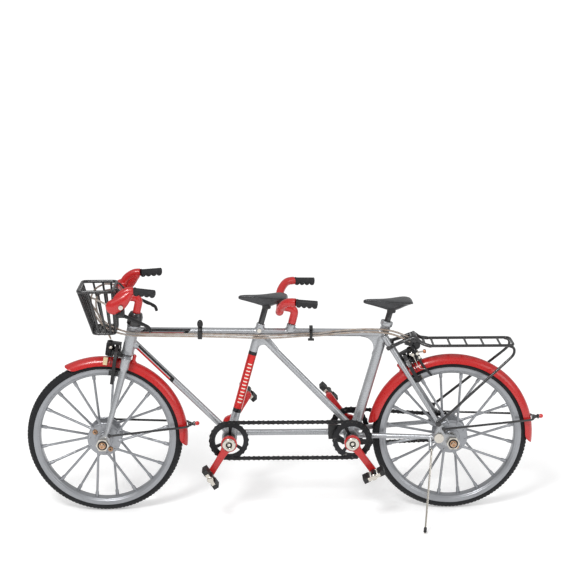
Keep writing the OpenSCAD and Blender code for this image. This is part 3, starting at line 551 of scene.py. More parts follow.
def braided():
    """Cable casing: two crossing spirals of strands, from the UVs along and round it, with painted
    shade in the gaps between strands.
    """
    strands_round, turns_per_mm = 4, 0.9
    look = Finish("braided_casing")
    split = look.nodes.new("ShaderNodeSeparateXYZ")
    look.feed(split.inputs[0], look.uv)
    turn, run = split.outputs[0], look.math("MULTIPLY", split.outputs[1], 1 / MM)
    strands = []
    for sign in (-1, 1):
        phase = look.math("ADD", look.math("MULTIPLY", turn, strands_round * sign),
                          look.math("MULTIPLY", run, turns_per_mm))
        wave = look.math("SINE", look.math("MULTIPLY", phase, FULL_TURN))
        strands.append(look.remap(wave, -1, 1, 0, 1))
    weave = look.math("MAXIMUM", strands[0], strands[1])
    patch = look.noise(300, 3)
    bright = look.mix(look.remap(patch, 0.4, 0.6, 0, 1), srgb(176, 160, 146), srgb(196, 190, 184))
    # the gaps between strands get a dark brown: painted shade
    tone = look.mix(look.remap(weave, 0.3, 0.95, 0, 1), srgb(98, 84, 74), bright)
    return look.finish(tone, look.remap(patch, 0.3, 0.7, 0.3, 0.5), 0.55, 0, weave, 0.06)


def rubber(name, colour, grain, depth, roughness=0.72):
    """Matt rubber with a pebbled skin and a little dust."""
    look = Finish(name)
    dark, light = shades(colour, 0.18)
    tone = look.mix(look.remap(look.noise(120, 5), 0.35, 0.65, 0, 1), dark, light)
    dust = look.remap(look.noise(700, 6), 0.58, 0.75, 0, 0.35)
    tone = look.mix(dust, tone, srgb(58, 59, 62))
    look.surface.inputs["Specular IOR Level"].default_value = 0.3
    pebble = look.noise(grain, 2)
    rough = look.remap(pebble, 0.3, 0.7, roughness - 0.1, roughness + 0.12)
    return look.finish(tone, rough, 0, 0, pebble, depth)


def saddle_skin():
    """Smooth leatherette: fine creased cells, with painted shade darkening the creases, under a
    low sheen.
    """
    look = Finish("saddle_leatherette")
    cells = look.nodes.new("ShaderNodeTexVoronoi")
    cells.feature = "DISTANCE_TO_EDGE"
    look.feed(cells.inputs["Vector"], look.place)
    look.feed(cells.inputs["Scale"], 2600)
    crease = look.remap(cells.outputs["Distance"], 0, 0.12, 0, 1)
    tone = look.mix(look.remap(look.noise(80, 4), 0.35, 0.65, 0, 1), srgb(38, 39, 42),
                    srgb(54, 56, 60))
    # the creases are painted near-black: painted shade
    tone = look.mix(crease, srgb(26, 26, 28), tone)
    rough = look.remap(look.noise(600, 3), 0.3, 0.7, 0.32, 0.5)
    look.surface.inputs["Sheen Weight"].default_value = 0.08
    return look.finish(tone, rough, 0, 0.15, crease, 0.02)


def tinted_plastic():
    """Clear red reflector, with small prisms, each painted bright in its middle and darker at its
    edges as painted glint and painted shade.
    """
    look = Finish("reflector_plastic")
    grid = look.nodes.new("ShaderNodeTexVoronoi")
    look.feed(grid.inputs["Vector"], look.place)
    look.feed(grid.inputs["Scale"], 2200)
    cell = grid.outputs["Distance"]
    # bright red in each prism's middle, dark red at its edges: a painted glint and painted shade
    tone = look.mix(cell, srgb(235, 30, 28), srgb(150, 8, 10))
    return look.finish(tone, look.remap(look.noise(500), 0.3, 0.7, 0.08, 0.2), 0, 0.8, cell, 0.05)


SILVER = coated("frame_lacquer", SILVER_PAINT, 0.3, 0.65, 0.2, 0.04, 2600, 0.003,
                srgb(120, 120, 122), 0.15, frame_paint)
PLAIN_SILVER = coated("fork_lacquer", SILVER_PAINT, 0.3, 0.65, 0.2, 0.04, 2600, 0.003,
                      srgb(120, 120, 122), 0.15)
WHEEL_SILVER = coated("wheel_lacquer", srgb(146, 148, 152), 0.34, 0.6, 0.15, 0.05, 2200, 0.006,
                      srgb(128, 129, 132), 0.2)
RED = coated("red_lacquer", srgb(180, 24, 24), 0.3, 0.0, 0.3, 0.03, 1600, 0.002,
             srgb(150, 20, 20), 0.15)
BLACK = coated("black_enamel", srgb(26, 26, 28), 0.3, 0.0, 0.4, 0.2, 900, 0.015,
               srgb(92, 92, 94), 0.3)
BRAKE_BLACK = coated("brake_black", srgb(24, 24, 26), 0.38, 0.3, 0.1, 0.25, 1400, 0.02,
                     srgb(110, 110, 112), 0.4)
CHAIN_BLACK = coated("chain_steel", srgb(38, 38, 40), 0.34, 0.75, 0.0, 0.3, 1200, 0.02,
                     srgb(140, 138, 134), 0.5)
MOULDED = coated("moulded_black", srgb(24, 24, 25), 0.46, 0.0, 0.0, 0.2, 1800, 0.03,
                 srgb(70, 70, 72), 0.25)
NICKEL = coated("bright_nickel", srgb(198, 193, 184), 0.22, 1.0, 0.0, 0.08, 1600, 0.006,
                srgb(150, 132, 110), 0.4)
BRASS = coated("brass_knob", srgb(168, 104, 76), 0.35, 0.8, 0.0, 0.1, 1500, 0.01,
               srgb(96, 52, 38), 0.4)
BRONZE = coated("bronze_tip", srgb(176, 138, 108), 0.3, 1.0, 0.0, 0.12, 1500, 0.01,
                srgb(96, 70, 50), 0.4)
# dark brown-grey for the axle washers and chain pins, and painted shade in the screw slots, the
# grip end holes and the crank cap hollows
DARK_PARTS_AND_SHADE = coated("dark_parts_and_painted_shade", srgb(40, 37, 34), 0.6, 0.2, 0.0, 0.2, 1500, 0.02)
BRAKE_PAD = rubber("brake_pad_rubber", srgb(206, 186, 150), 1800, 0.03)
BRAKE_BLOCK = rubber("brake_block_rubber", srgb(34, 34, 36), 1800, 0.03)
TYRE = rubber("tyre_rubber", srgb(25, 26, 28), 1500, 0.05)
GRIP = rubber("grip_rubber", srgb(34, 34, 36), 2400, 0.03, 0.55)
BRAID = braided()
SADDLE = saddle_skin()
REFLECTOR = tinted_plastic()


# ---------------------------------------------------------------- wheels

TREAD_BLOCKS, STEPS_PER_BLOCK = 128, 3
TREAD_ANGLES = [-150 + 12.5 * j for j in range(25)]
CROSS_GROOVE, ROUND_GROOVE, WALL_LINE = -0.42, -0.3, -0.12


def tyre_size(end):
    """A tyre's half width, and the radius of the circle along its middle, in millimetres."""
    low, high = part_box(f"{end}_tyre")
    half = (high.y - low.y) / 2 / MM
    return half, (high.z - low.z) / 2 / MM - half


def rim_edge(end):
    """The outer radius of the rim's side, in millimetres."""
    return tyre_size(end)[1] - 0.75


def tread(j, k):
    """The change of radius at a point across the tyre and a step round it."""
    lean = abs(TREAD_ANGLES[j])
    if lean > 70:
        return WALL_LINE if 85 < lean < 105 else 0
    step_cut = 0 if TREAD_ANGLES[j] < 0 else 1
    if k % STEPS_PER_BLOCK == step_cut and lean < 60:
        return CROSS_GROOVE
    return ROUND_GROOVE if abs(lean - 25) < 4 else 0


def tyre(end):
    half, core = tyre_size(end)
    profile = []
    for angle in TREAD_ANGLES:
        turn = math.radians(angle)
        profile.append((core + half * math.cos(turn), half * math.sin(turn)))
    bm = bmesh.new()
    lathe(bm, profile, AXLES[end], RIGHT, TREAD_BLOCKS * STEPS_PER_BLOCK, True, carve=tread)
    piece(f"{end}_tyre_tread", bm, TYRE, f"{end}_wheel", [f"{end}_tyre"])


def rim(end):
    """A hollow-looking rim: a raised lip, a brake track, and a rounded inner side."""
    edge, wide = rim_edge(end), tyre_size(end)[0] + 0.4
    bed = [(edge - 1.1, wide - 0.7), (edge + 0.1, wide - 0.5)]
    lip = [(edge + 0.1, wide - 0.1), (edge - 0.1, wide)]
    track = [(edge - 1.0, wide - 0.12), (edge - 1.7, wide - 0.12)]
    step = [(edge - 2.0, wide - 0.02), (edge - 2.25, wide - 0.25)]
    belly = []
    for angle in range(15, 90, 15):
        turn = math.radians(angle)
        belly.append((edge - 2.25 - 1.3 * math.sin(turn), 1.2 + (wide - 1.5) * math.cos(turn)))
    half_loop = bed + lip + track + step + belly + [(edge - 3.57, 1.0)]
    bm = bmesh.new()
    lathe(bm, both_sides(half_loop), AXLES[end], RIGHT, 144, True)
    piece(f"{end}_rim_band", bm, WHEEL_SILVER, f"{end}_wheel", [f"{end}_rim"])


def spoke_radius(share):
    """A thick root at the hub, a thin middle, and a nipple that starts at 0.87 of the length."""
    if share < 0.12:
        return (0.92 - 2.2 * share) * MM
    if share > 0.9:
        return 0.95 * MM
    return (0.65 + max(0, share - 0.87) * 10) * MM


def spokes(end):
    """Twenty spokes, from the two flanges in turn, leaning one way and then the other."""
    count, twist, hub_r, hub_y, rim_y = 20, 17, 7.7, 4.95, 0.8
    rim_r = rim_edge(end) - 3.3
    bm = bmesh.new()
    for i in range(count):
        side = -1 if i % 2 == 0 else 1
        angle = 360 / count * (i + 0.5)
        inner = AXLES[end] + around(angle + side * twist, hub_r * MM) + mm(0, side * hub_y, 0)
        outer = AXLES[end] + around(angle, rim_r * MM) + mm(0, side * rim_y, 0)
        path = [inner.lerp(outer, t) for t in (0, 0.06, 0.12, 0.3, 0.6, 0.87, 0.9, 0.95, 1)]
        tube(bm, path, spoke_radius, 12)
    piece(f"{end}_spoke_set", bm, WHEEL_SILVER, f"{end}_wheel",
          [f"{end}_spokes"], sharp=50)


def screw_head(bm, centre, axis, radius, height, metal, dark):
    """A domed screw head with a dark cross on it, painted shade in its slots."""
    crown = [(0.05, 0), (radius * 0.96, 0), (radius, height * 0.35), (radius * 0.86, height * 0.8),
             (radius * 0.5, height), (0.05, height)]
    lathe(bm, crown, centre, axis, 24, material=metal)
    arm, thick = radius * 0.62, radius * 0.13
    face = placed(centre + axis.normalized() * (height + 0.01) * MM, Vector((1, 0, 0.4)), axis)
    # thin dark blocks on the face: painted shade for the cross slot
    for low, high in (((-arm, -0.02, -thick), (arm, 0.02, thick)),
                      ((-thick, -0.03, -arm), (thick, 0.03, arm))):
        block(bm, low, high, face, dark)


def hub(end):
    """A hub with a wide flange on each side, and two screws in the left one."""
    half = [(1.58, 6.6), (3.1, 6.6), (3.4, 6.35), (3.4, 6.05), (4.4, 6.0), (4.6, 5.75), (4.7, 5.6),
            (7.2, 5.55), (8.5, 5.5), (8.9, 5.2), (8.9, 4.6), (8.6, 4.35), (4.6, 4.3), (3.7, 3.8),
            (3.4, 3.0), (3.2, 1.2)]
    bm = bmesh.new()
    lathe(bm, both_sides(half), AXLES[end], RIGHT, 96, True)
    for angle in (139, 300):
        seat = AXLES[end] + around(angle, 6.2 * MM) + mm(0, -5.6, 0)
        screw_head(bm, seat, LEFT, 1.4, 0.65, 1, 2)
    piece(f"{end}_hub_shell", bm, [WHEEL_SILVER, BRONZE, DARK_PARTS_AND_SHADE], f"{end}_wheel",
          [f"{end}_hub"], bevel=0.08)


def axle_caps(end, face_y):
    """A dark washer, a bronze collar and a slotted bronze tip on each axle nut; the slot is a thin
    dark block, painted shade.
    """
    washer = [(1.55, -0.1), (2.55, -0.1), (2.55, 0.1), (2.2, 0.2), (1.55, 0.2)]
    collar = [(1.22, 0.05), (1.8, 0.05), (1.75, 0.45), (1.22, 0.5)]
    tip = [(0.05, 0.02), (0.7, 0.04), (1.1, 0.02), (1.1, -0.1), (0.05, -0.1)]
    bm = bmesh.new()
    for side in SIDES.values():
        face = AXLES[end] + mm(0, side * face_y, 0)
        out = Vector((0, side, 0))
        lathe(bm, washer, face, out, 36, True, 1)
        lathe(bm, collar, face, out, 36, True)
        tip_at = face + out * 2.2 * MM
        lathe(bm, tip, tip_at, out, 28)
        slot = placed(tip_at, Vector((1, 0, 0.8)), out)
        # a thin dark block across the tip: painted shade for the slot
        block(bm, (-0.8, -0.02, -0.14), (0.8, 0.03, 0.14), slot, 1)
    piece(f"{end}_axle_caps", bm, [BRONZE, DARK_PARTS_AND_SHADE], WHEEL_CARRIER[end], bevel=0.05)


# ---------------------------------------------------------------- frame, fork and bars

def casting(name, node, material, body, voxel):
    """A CAD weldment with its joints blended, as die-cast metal has them."""
    bm = bmesh.new()
    bm.from_mesh(NODES[node].data)
    bmesh.ops.remove_doubles(bm, verts=bm.verts, dist=0.001 * MM)
    piece(name, fused(bm, voxel, 7), material, body, [node], sharp=60)


FRONT_CROSS = mm(-79.8, 0, 116.8)
REAR_CROSS = mm(1.6, 0, 111)
FRONT_BAR = [FRONT_CROSS, mm(-80, -11, 116.8), mm(-81.3, -17.5, 116.8), mm(-81.9, -20.6, 117.6),
             mm(-79.6, -21.4, 121.6), mm(-75.6, -21.2, 124.3), mm(-72.2, -21, 124.7)]
REAR_BAR = [REAR_CROSS, mm(1.3, -9, 111), mm(1.2, -14, 111.6), mm(2.2, -18.5, 115.4),
            mm(5.2, -22.6, 118.5), mm(9.4, -24.5, 119)]
FRONT_GRIP = (mm(-72.1, -21, 124.7), mm(-61.2, -25.6, 124.5))
REAR_GRIP = (mm(9.5, -24.5, 119), mm(20.2, -26.2, 118.5))


def on_stoker_stem(height):
    """A point on the stoker's stem, at a height in millimetres above its foot."""
    lean = math.tan(math.radians(14.5))
    return mm(6.4 + height * lean, 0, 97.2 + height)


def handlebar(name, node, half, stem, body):
    """Both sides of a bar and its stem, in one smooth piece."""
    whole = [across(p) for p in reversed(half)] + half[1:]
    bm = bmesh.new()
    for path in (smooth_path(whole, 8), wire_path(stem, 3 * MM)):
        tube(bm, path, 2.1 * MM, 24, round_ends=False)
    piece(name, fused(bm, 0.26, 5), RED, body, [node], sharp=70)


def finger_bar(bm, path, radius, bumps, depth, sides=20, squeeze=1.0):
    """A bar with finger bumps along its underside, and rounded ends."""
    frames = cross_frames(path, False)
    last = len(path) - 1
    rings = []
    for i, (centre, (u, v, _)) in enumerate(zip(path, frames)):
        share = i / last
        end = min(1.0, math.sqrt(max(0.0, min(share, 1 - share) * 14)) + 0.45)
        bump = depth * math.sin(math.pi * (share * bumps % 1.0)) ** 0.7
        ring = []
        for turn in circle(sides):
            out = u * math.cos(turn) * squeeze + v * math.sin(turn)
            drop = max(0.0, -out.z) ** 1.4 * bump
            ring.append(bm.verts.new(centre + out * (radius + drop) * end * MM))
        rings.append(ring)
    join_rings(bm, rings)


def grips(name, node, ends, body):
    """A pair of grips with four finger bumps, a collar, and a dark disc in the end, painted shade
    for its hole.
    """
    steps = 64
    bm = bmesh.new()
    for side in (1, -1):
        start, stop = (across(p, side) for p in ends)
        path = [start.lerp(stop, i / steps) for i in range(steps + 1)]
        finger_bar(bm, path, 1.62, 4, 1.05)
        way = (stop - start).normalized()
        hole = stop + way * 0.02 * MM
        # a thin dark disc at the end: painted shade for the hole
        lathe(bm, [(0.05, 0), (0.42, 0), (0.4, 0.03), (0.05, 0.03)], hole, way, 16, material=1)
        collar = start + way * 0.1 * MM
        lathe(bm, [(1.5, 0), (1.85, 0.1), (1.85, 0.7), (1.55, 0.9)], collar, way, 28)
    piece(name, bm, [GRIP, DARK_PARTS_AND_SHADE], body, [node], sharp=50)


def lever_hoods():
    """Red teardrop covers over the bends of the front bar."""
    spine = [mm(-82.4, -22.8, 116.8), mm(-80, -22.8, 118), mm(-77.8, -22.6, 119.7),
             mm(-76, -22, 121.6), mm(-74.4, -21.4, 123.2)]
    sizes = [3.9, 3.8, 3.3, 2.7, 2.2]
    bm = bmesh.new()
    path = smooth_path(spine, 6)
    for side in (1, -1):
        for i, point in enumerate(path):
            share = i / (len(path) - 1) * (len(sizes) - 1)
            k = min(int(share), len(sizes) - 2)
            radius = sizes[k] + (sizes[k + 1] - sizes[k]) * (share - k)
            width = min(radius, 2.15)
            place = Matrix.Translation(across(point, side)) @ Matrix.Diagonal(
                (radius * MM, width * MM, radius * MM, 1))
            bmesh.ops.create_uvsphere(bm, u_segments=24, v_segments=16, radius=1, matrix=place)
    piece("lever_hood_covers", fused(bm, 0.26, 4), RED, "steering",
          ["lever_hoods"], sharp=70)


def brake_levers():
    """Two lever blades with finger bumps, and an eye at the pivot."""
    blade = ((0, 0), (4, -1.8), (8, -3.8), (12, -5.7), (14.2, -7.2), (15, -9.6))
    eye = both_sides([(0.65, 1.0), (1.3, 1.0), (1.42, 0.8)])
    for name in SIDES:
        start = pivot(f"{name}_lever_pull")
        bm = bmesh.new()
        path = smooth_path([start + mm(x, 0, z) for x, z in blade], 9)
        finger_bar(bm, path, 0.8, 5, 0.42, 16, 1.15)
        lathe(bm, eye, start, RIGHT, 28, True)
        piece(f"{name}_lever_blade", bm, BRAKE_BLACK, f"{name}_lever",
              [f"{name}_brake_lever"], sharp=50)


def basket():
    """Wire basket in front of the bar, with its two hooks."""
    top_z, low_z = 122, 99.2
    top_front, top_back, top_half = -101.6, -83.6, 12
    low_front, low_back, low_half = -94.6, -83.4, 9
    bm = bmesh.new()

    def hoop(front, back, half, z, radius):
        corners = [mm(front, -half, z), mm(back, -half, z), mm(back, half, z), mm(front, half, z)]
        tube(bm, wire_path(corners, 2.6 * MM, 6, True), radius * MM, 12, True)

    def upright(top, low):
        tube(bm, [top, top.lerp(low, 0.94), low], 0.6 * MM, 10)

    hoop(top_front, top_back, top_half, top_z, 0.9)
    hoop(low_front, low_back, low_half, low_z, 0.7)
    for i in range(5):
        share = i / 4 * 2 - 1
        upright(mm(top_front, share * (top_half - 1.4), top_z),
                mm(low_front, share * (low_half - 1.4), low_z))
    for y in (-7.6, -3, 3, 7.6):
        upright(mm(top_back, y * 1.2, top_z), mm(low_back, y * 0.9, low_z))
    for side in (-1, 1):
        for share in (0.3, 0.58, 0.82):
            upright(mm(top_front + (top_back - top_front) * share, side * top_half, top_z),
                    mm(low_front + (low_back - low_front) * share, side * low_half, low_z))
    floor = [[mm(x, y, low_z) for x in (low_front, low_back)]
             for y in (-6, -3.6, -1.2, 1.2, 3.6, 6)]
    floor += [[mm(x, y, low_z - 0.5) for y in (-low_half, low_half)] for x in (-91.6, -88.6, -86)]
    for wire in floor:
        tube(bm, wire, 0.4 * MM, 8)
    for side in (-1, 1):
        hook = [mm(top_back, side * 6, top_z), mm(-81.8, side * 6, top_z + 0.2)]
        for a in range(80, -190, -30):
            turn = math.radians(a)
            hook.append(FRONT_CROSS + mm(2.65 * math.cos(turn), side * 6, 2.65 * math.sin(turn)))
        tube(bm, smooth_path(hook, 3), 0.5 * MM, 10)
    piece("wire_basket", bm, BLACK, "steering", ["basket"], sharp=60)


# ---------------------------------------------------------------- rack, guards and stand

def rack():
    """Carrier over the rear wheel: a wire deck, two legs, and a strap clamped to each stay."""
    z, half, front, back = 91.3, 8, 76.5, 122.4
    stay_top, stay_foot = mm(56, -3.2, 94.5), mm(84.3, -13, 49.5)
    disc = [(0.1, 0.65), (1.3, 0.65), (1.6, 0.4), (1.6, -0.4), (1.3, -0.65), (0.1, -0.65)]
    clamp = [(1.62, -1), (2.3, -1), (2.45, -0.7), (2.45, 0.7), (2.3, 1), (1.62, 1)]
    leg = [mm(120, -half, z - 0.3), mm(122.6, -half - 0.2, z - 1.2),
           mm(122.6, -half - 0.6, z - 4.6), mm(119.5, -half - 1, z - 7.6), mm(83.2, -15.4, 51.6)]
    strap = [stay_top.lerp(stay_foot, 0.1) + mm(1, -1.4, 0.7), mm(64.6, -4.3, 92.6),
             mm(71.4, -4.4, 95.2), mm(74.8, -6.4, 92.2), mm(79, -half, z)]
    bm = bmesh.new()
    corners = [mm(front, -half, z), mm(back, -half, z), mm(back, half, z), mm(front, half, z)]
    tube(bm, wire_path(corners, 3.4 * MM, 8, True), 0.75 * MM, 14, True)
    for i in range(5):
        x = 81 + 8.7 * i
        tube(bm, [mm(x, -half, z), mm(x, -half * 0.5, z - 0.4), mm(x, half * 0.5, z - 0.4),
                  mm(x, half, z)], 0.6 * MM, 10)
    for side in (-1, 1):
        tube(bm, wire_path([across(p, side) for p in leg], 2.6 * MM), 0.72 * MM, 14)
        lathe(bm, disc, across(mm(83.2, -15.5, 51.6), side), RIGHT, 28)
        clamp_at = across(stay_top.lerp(stay_foot, 0.102), side)
        stay_way = across((stay_foot - stay_top).normalized(), side)
        lathe(bm, clamp, clamp_at, stay_way, 36, True)
        tube(bm, wire_path([across(p, side) for p in strap], 1.6 * MM), 1.15 * MM, 14, flat=0.8)
    tube(bm, [mm(71.4, -4.4, 95.2), mm(71.4, 4.4, 95.2)], 1 * MM, 14)
    block(bm, (-2.1, -3.6, -2.4), (1.9, 3.6, 0.4), placed(mm(71.2, 0, 94.6), mm(1, 0, -0.45)))
    piece("rear_carrier", bm, BLACK, "frame", ["rack"], sharp=50)


GUARD_OUT, GUARD_SKIN, GUARD_TIP, GUARD_SPREAD = 4.1, 0.6, 5.5, 92
TIP_ANGLES = [0, 0.15, 0.45, 0.9, 1.5, 2.3, 3.3, 4.6, 6.2]


def guard_core(end):
    """The radius of the circle that a mudguard is rolled about, in millimetres."""
    return tyre_size(end)[1] + 1.5


def guard(end, start, stop, tab):
    """A rolled mudguard with tongue-shaped ends, and its fixing tab. start, stop and tab are
    angles round the axle."""
    core, out = guard_core(end), GUARD_OUT
    steps, middle, tip = 22, 90, TIP_ANGLES[-1]
    angles = [start + angle for angle in TIP_ANGLES]
    for i in range(1, middle):
        angles.append(start + tip + (stop - start - 2 * tip) * i / middle)
    angles += [stop - angle for angle in reversed(TIP_ANGLES)]
    bm = bmesh.new()
    rings = []
    for angle in angles:
        reach = math.radians(min(angle - start, stop - angle)) * (core + out)
        left = 1 - min(1.0, (reach + 0.25) / GUARD_TIP)
        spread = GUARD_SPREAD * math.sqrt(1 - left * left)
        ring = []
        for radius, order in ((out, 1), (out - GUARD_SKIN, -1)):
            for k in range(steps + 1):
                lean = math.radians(-spread + 2 * spread * k / steps) * order
                edge = 0.12 if k in (0, steps) and radius == out else 0
                spot = around(angle, (core + (radius + edge) * math.cos(lean)) * MM)
                spot = spot + mm(0, (radius + edge) * math.sin(lean), 0)
                ring.append(bm.verts.new(AXLES[end] + spot))
        rings.append(ring)
    join_rings(bm, rings)
    crown = core + out
    foot = AXLES[end] + around(tab, (crown - 0.4) * MM)
    head = AXLES[end] + around(tab + (0.6 if end == "front" else 0), (crown + 2.9) * MM)
    tube(bm, [foot, foot.lerp(head, 0.5), head],
         lambda share: (1.15 - 0.3 * share) * MM, 16)
    bmesh.ops.create_uvsphere(bm, u_segments=20, v_segments=14, radius=1.05 * MM,
                              matrix=Matrix.Translation(head))
    lathe(bm, [(0.1, 0.1), (2.0, 0.1), (1.9, 0.5), (1.2, 0.9), (0.1, 1)], foot,
          (foot - AXLES[end]).normalized(), 28)
    piece(f"{end}_mudguard", bm, RED, WHEEL_CARRIER[end], [f"{end}_guard"],
          sharp=50)


def guard_stay(end, start, angle):
    """The wire from both dropouts round the back of a mudguard, with its lamp."""
    back = AXLES[end] + around(angle, (guard_core(end) + GUARD_OUT + 0.75) * MM)
    eye = [(0.1, 0.6), (0.8, 0.6), (0.95, 0.4), (0.95, -0.4), (0.8, -0.6), (0.1, -0.6)]
    holder = [(0.1, -0.3), (1.15, -0.3), (1.3, 0), (1.3, 1.2), (0.95, 1.5), (0.8, 2.4),
              (1.25, 2.7), (1.25, 3.5), (0.1, 3.5)]
    bulb = [(0.05, 1.2), (0.5, 1.1), (0.85, 0.85), (1.1, 0.4), (1.15, 0), (1.05, -0.5),
            (0.9, -1.0), (0.05, -1.05)]
    lamp_way = mm(3, 0, 0.3)
    bm = bmesh.new()
    for side in (-1, 1):
        line = [across(start, side), across(back + mm(-1.2, -5.2, 0), side),
                across(back + mm(0.3, -3.4, 0), side), back + mm(0.5, 0, 0)]
        tube(bm, wire_path(line, 1.5 * MM), 0.6 * MM, 12)
        lathe(bm, eye, across(start + mm(0, 0.15, 0), side), RIGHT, 20)
    lathe(bm, holder, back, lamp_way, 28)
    piece(f"{end}_guard_wire", bm, BLACK, WHEEL_CARRIER[end],
          [f"{end}_guard_stay"], sharp=50)
    lamp = bmesh.new()
    lathe(lamp, bulb, back + mm(4.6, 0, 0.46), lamp_way, 28)
    piece(f"{end}_reflector_bulb", lamp, REFLECTOR, WHEEL_CARRIER[end],
          [f"{end}_reflector"], sharp=60)


def kickstand():
    """A bent wire leg with a black foot."""
    start = pivot("kickstand_fold")
    axis = Vector(JOINTS["kickstand_fold"]["axis"]).normalized()
    if axis.y > 0:
        axis = -axis
    foot = mm(74.8, -38.5, 0.8)
    knee = start + axis * 1.3 * MM + mm(-0.1, -0.4, -2.4)
    bm = bmesh.new()
    line = [start - axis * 0.6 * MM, start + axis * 1.3 * MM, knee, foot]
    tube(bm, wire_path(line, 1.2 * MM), 0.5 * MM, 16)
    way = (foot - knee).normalized()
    lathe(bm, [(0.5, -2.9), (0.8, -2.6), (0.85, -0.4), (0.55, 0), (0.05, 0.05)], foot, way, 20,
          material=1)
    piece("stand_leg", bm, [NICKEL, MOULDED], "kickstand", ["kickstand"], sharp=50)


# ---------------------------------------------------------------- cranks, chains and pedals

RING_TEETH, SPROCKET_TEETH = 24, 17
RING_R = 9.75
SPROCKET_R = RING_R * SPROCKET_TEETH / RING_TEETH
TIMING_Y, DRIVE_Y, ARM_Y = -12, 10.5, 17.3
CRANK_LEN = 18.4
CRANK_HEAD_R, CRANK_TIP_R = 4.2, 1.8
LEFT_ARM = {"front": 238.6, "rear": 305.7}
PEDAL_TURN = {"front_left": -57, "front_right": -50, "rear_left": 26, "rear_right": -45}


def crank_arms(end):
    """Two red arms with a round head, their pedal pins, and the cap over each head."""
    head = arc((0, 0), CRANK_HEAD_R, 38, 322, 36)
    lower_neck = [(4.3, -2.15), (6.5, -1.85), (11, -1.75)]
    tip = arc((CRANK_LEN, 0), CRANK_TIP_R, -90, 90, 12)
    outline = head + lower_neck + tip + [(x, -z) for x, z in reversed(lower_neck)]
    cap = [(1.6, -0.2), (1.6, 0.75), (1.85, 0.95), (2.9, 1.0), (3.25, 0.85), (3.5, 0.5),
           (3.5, 0), (3.0, -0.2)]
    recess = [(0.05, 0.3), (1.58, 0.28), (1.58, 0), (0.05, 0)]
    hexagon = arc((0, 0), 0.95, 0, 300, 5)
    pin_from, pin_to, cap_y = 18.5, 27.3, 18.6
    arms, caps = bmesh.new(), bmesh.new()
    centre = BRACKETS[end]
    for name, side in SIDES.items():
        way = around(LEFT_ARM[end] + (0 if side < 0 else 180), 1)
        slab(arms, outline, placed(centre + mm(0, side * ARM_Y, 0), way), 2.6)
        tip_at = pivot(f"{end}_{name}_pedal_spin")
        out = Vector((0, side, 0))
        tube(caps, [Vector((tip_at.x, side * y * MM, tip_at.z)) for y in (pin_from, pin_to)],
             0.8 * MM, 16)
        face = centre + mm(0, side * cap_y, 0)
        lathe(caps, cap, face, out, 48, True)
        # a dark disc filling the middle of each cap: painted shade for its hollow
        lathe(caps, recess, face, out, 24, material=1)
        slab(caps, hexagon, placed(face + out * 0.45 * MM, Vector((1, 0, 0.3))), 0.5)
    piece(f"{end}_crank_pair", arms, RED, f"{end}_crank", [f"{end}_crank_arms"],
          bevel=0.5)
    piece(f"{end}_crank_caps", caps, [NICKEL, DARK_PARTS_AND_SHADE], f"{end}_crank",
          [f"{end}_spindle"], bevel=0.1)
    axle = bmesh.new()
    tube(axle, [centre + mm(0, -16.2, 0), centre + mm(0, 16.2, 0)], 1.5 * MM, 32)
    piece(f"{end}_crank_axle", axle, NICKEL, f"{end}_crank")


def ring(name, node, end, y, arm_angle, boss_end):
    """A chain ring: a toothed rim on three arms, and a boss that reaches boss_end."""
    tooth = ((0, 9.95), (0.25, 10.05), (0.42, 10.3), (0.58, 10.3), (0.75, 10.05))
    inner_r = 7.4
    arm = [(2.4, -1.1), (4.5, -0.72), (8.1, -0.95), (8.1, 0.95), (4.5, 0.72), (2.4, 1.1)]
    centre = BRACKETS[end] + mm(0, y, 0)
    outline = []
    for i in range(RING_TEETH):
        for offset, radius in tooth:
            turn = FULL_TURN * (i + offset) / RING_TEETH
            outline.append((radius * math.cos(turn), radius * math.sin(turn)))
    bm = bmesh.new()
    place = placed(centre, around(arm_angle, 1))
    loops = []
    for toothed, y_at in ((True, -0.35), (True, 0.35), (False, 0.45), (False, -0.45)):
        loop = []
        for x, z in outline:
            scale = 1 if toothed else inner_r / math.hypot(x, z)
            loop.append(bm.verts.new(place @ mm(x * scale, y_at, z * scale)))
        loops.append(loop)
    join_rings(bm, loops, True)
    for turned in (0, 120, 240):
        slab(bm, arm, placed(centre, around(arm_angle + turned, 1)), 0.7)
    low, high = min(y - 0.9, boss_end), max(y + 0.9, boss_end)
    neck = [] if y < 0 else [(2.6, y - 0.4)]
    shoulder = [(2.6, high - 0.2)] if y < 0 else []
    boss = [(1.52, low), (2.4, low), (2.6, low + 0.2), *neck, (3.2, y - 0.35), (3.2, y + 0.35),
            *shoulder, (2.4, high), (1.52, high)]
    lathe(bm, boss, BRACKETS[end], RIGHT, 40, True)
    piece(name, bm, CHAIN_BLACK, f"{end}_crank", [node], bevel=0.1)


def belt_line(p1, r1, p2, r2):
    """The closed line round two rings, with radii in millimetres."""
    way = p2 - p1
    lean = math.atan2(way.z, way.x)
    apart = math.acos((r1 - r2) * MM / way.length)
    steps = 90
    line = []
    for centre, radius, start, sweep in ((p1, r1, lean + apart, FULL_TURN - 2 * apart),
                                         (p2, r2, lean - apart, 2 * apart)):
        for k in range(steps + 1):
            turn = start + sweep * k / steps
            line.append(centre + Vector((math.cos(turn), 0, math.sin(turn))) * radius * MM)
    return line


def even_points(line, count):
    """Points at equal steps along a closed line."""
    lengths = [(b - a).length for a, b in zip(line, line[1:] + line[:1])]
    step = sum(lengths) / count
    spots, passed, i = [], 0.0, 0
    for n in range(count):
        goal = n * step
        while passed + lengths[i] < goal:
            passed += lengths[i]
            i += 1
        share = (goal - passed) / max(lengths[i], 1e-9)
        spots.append(line[i].lerp(line[(i + 1) % len(line)], share))
    return spots


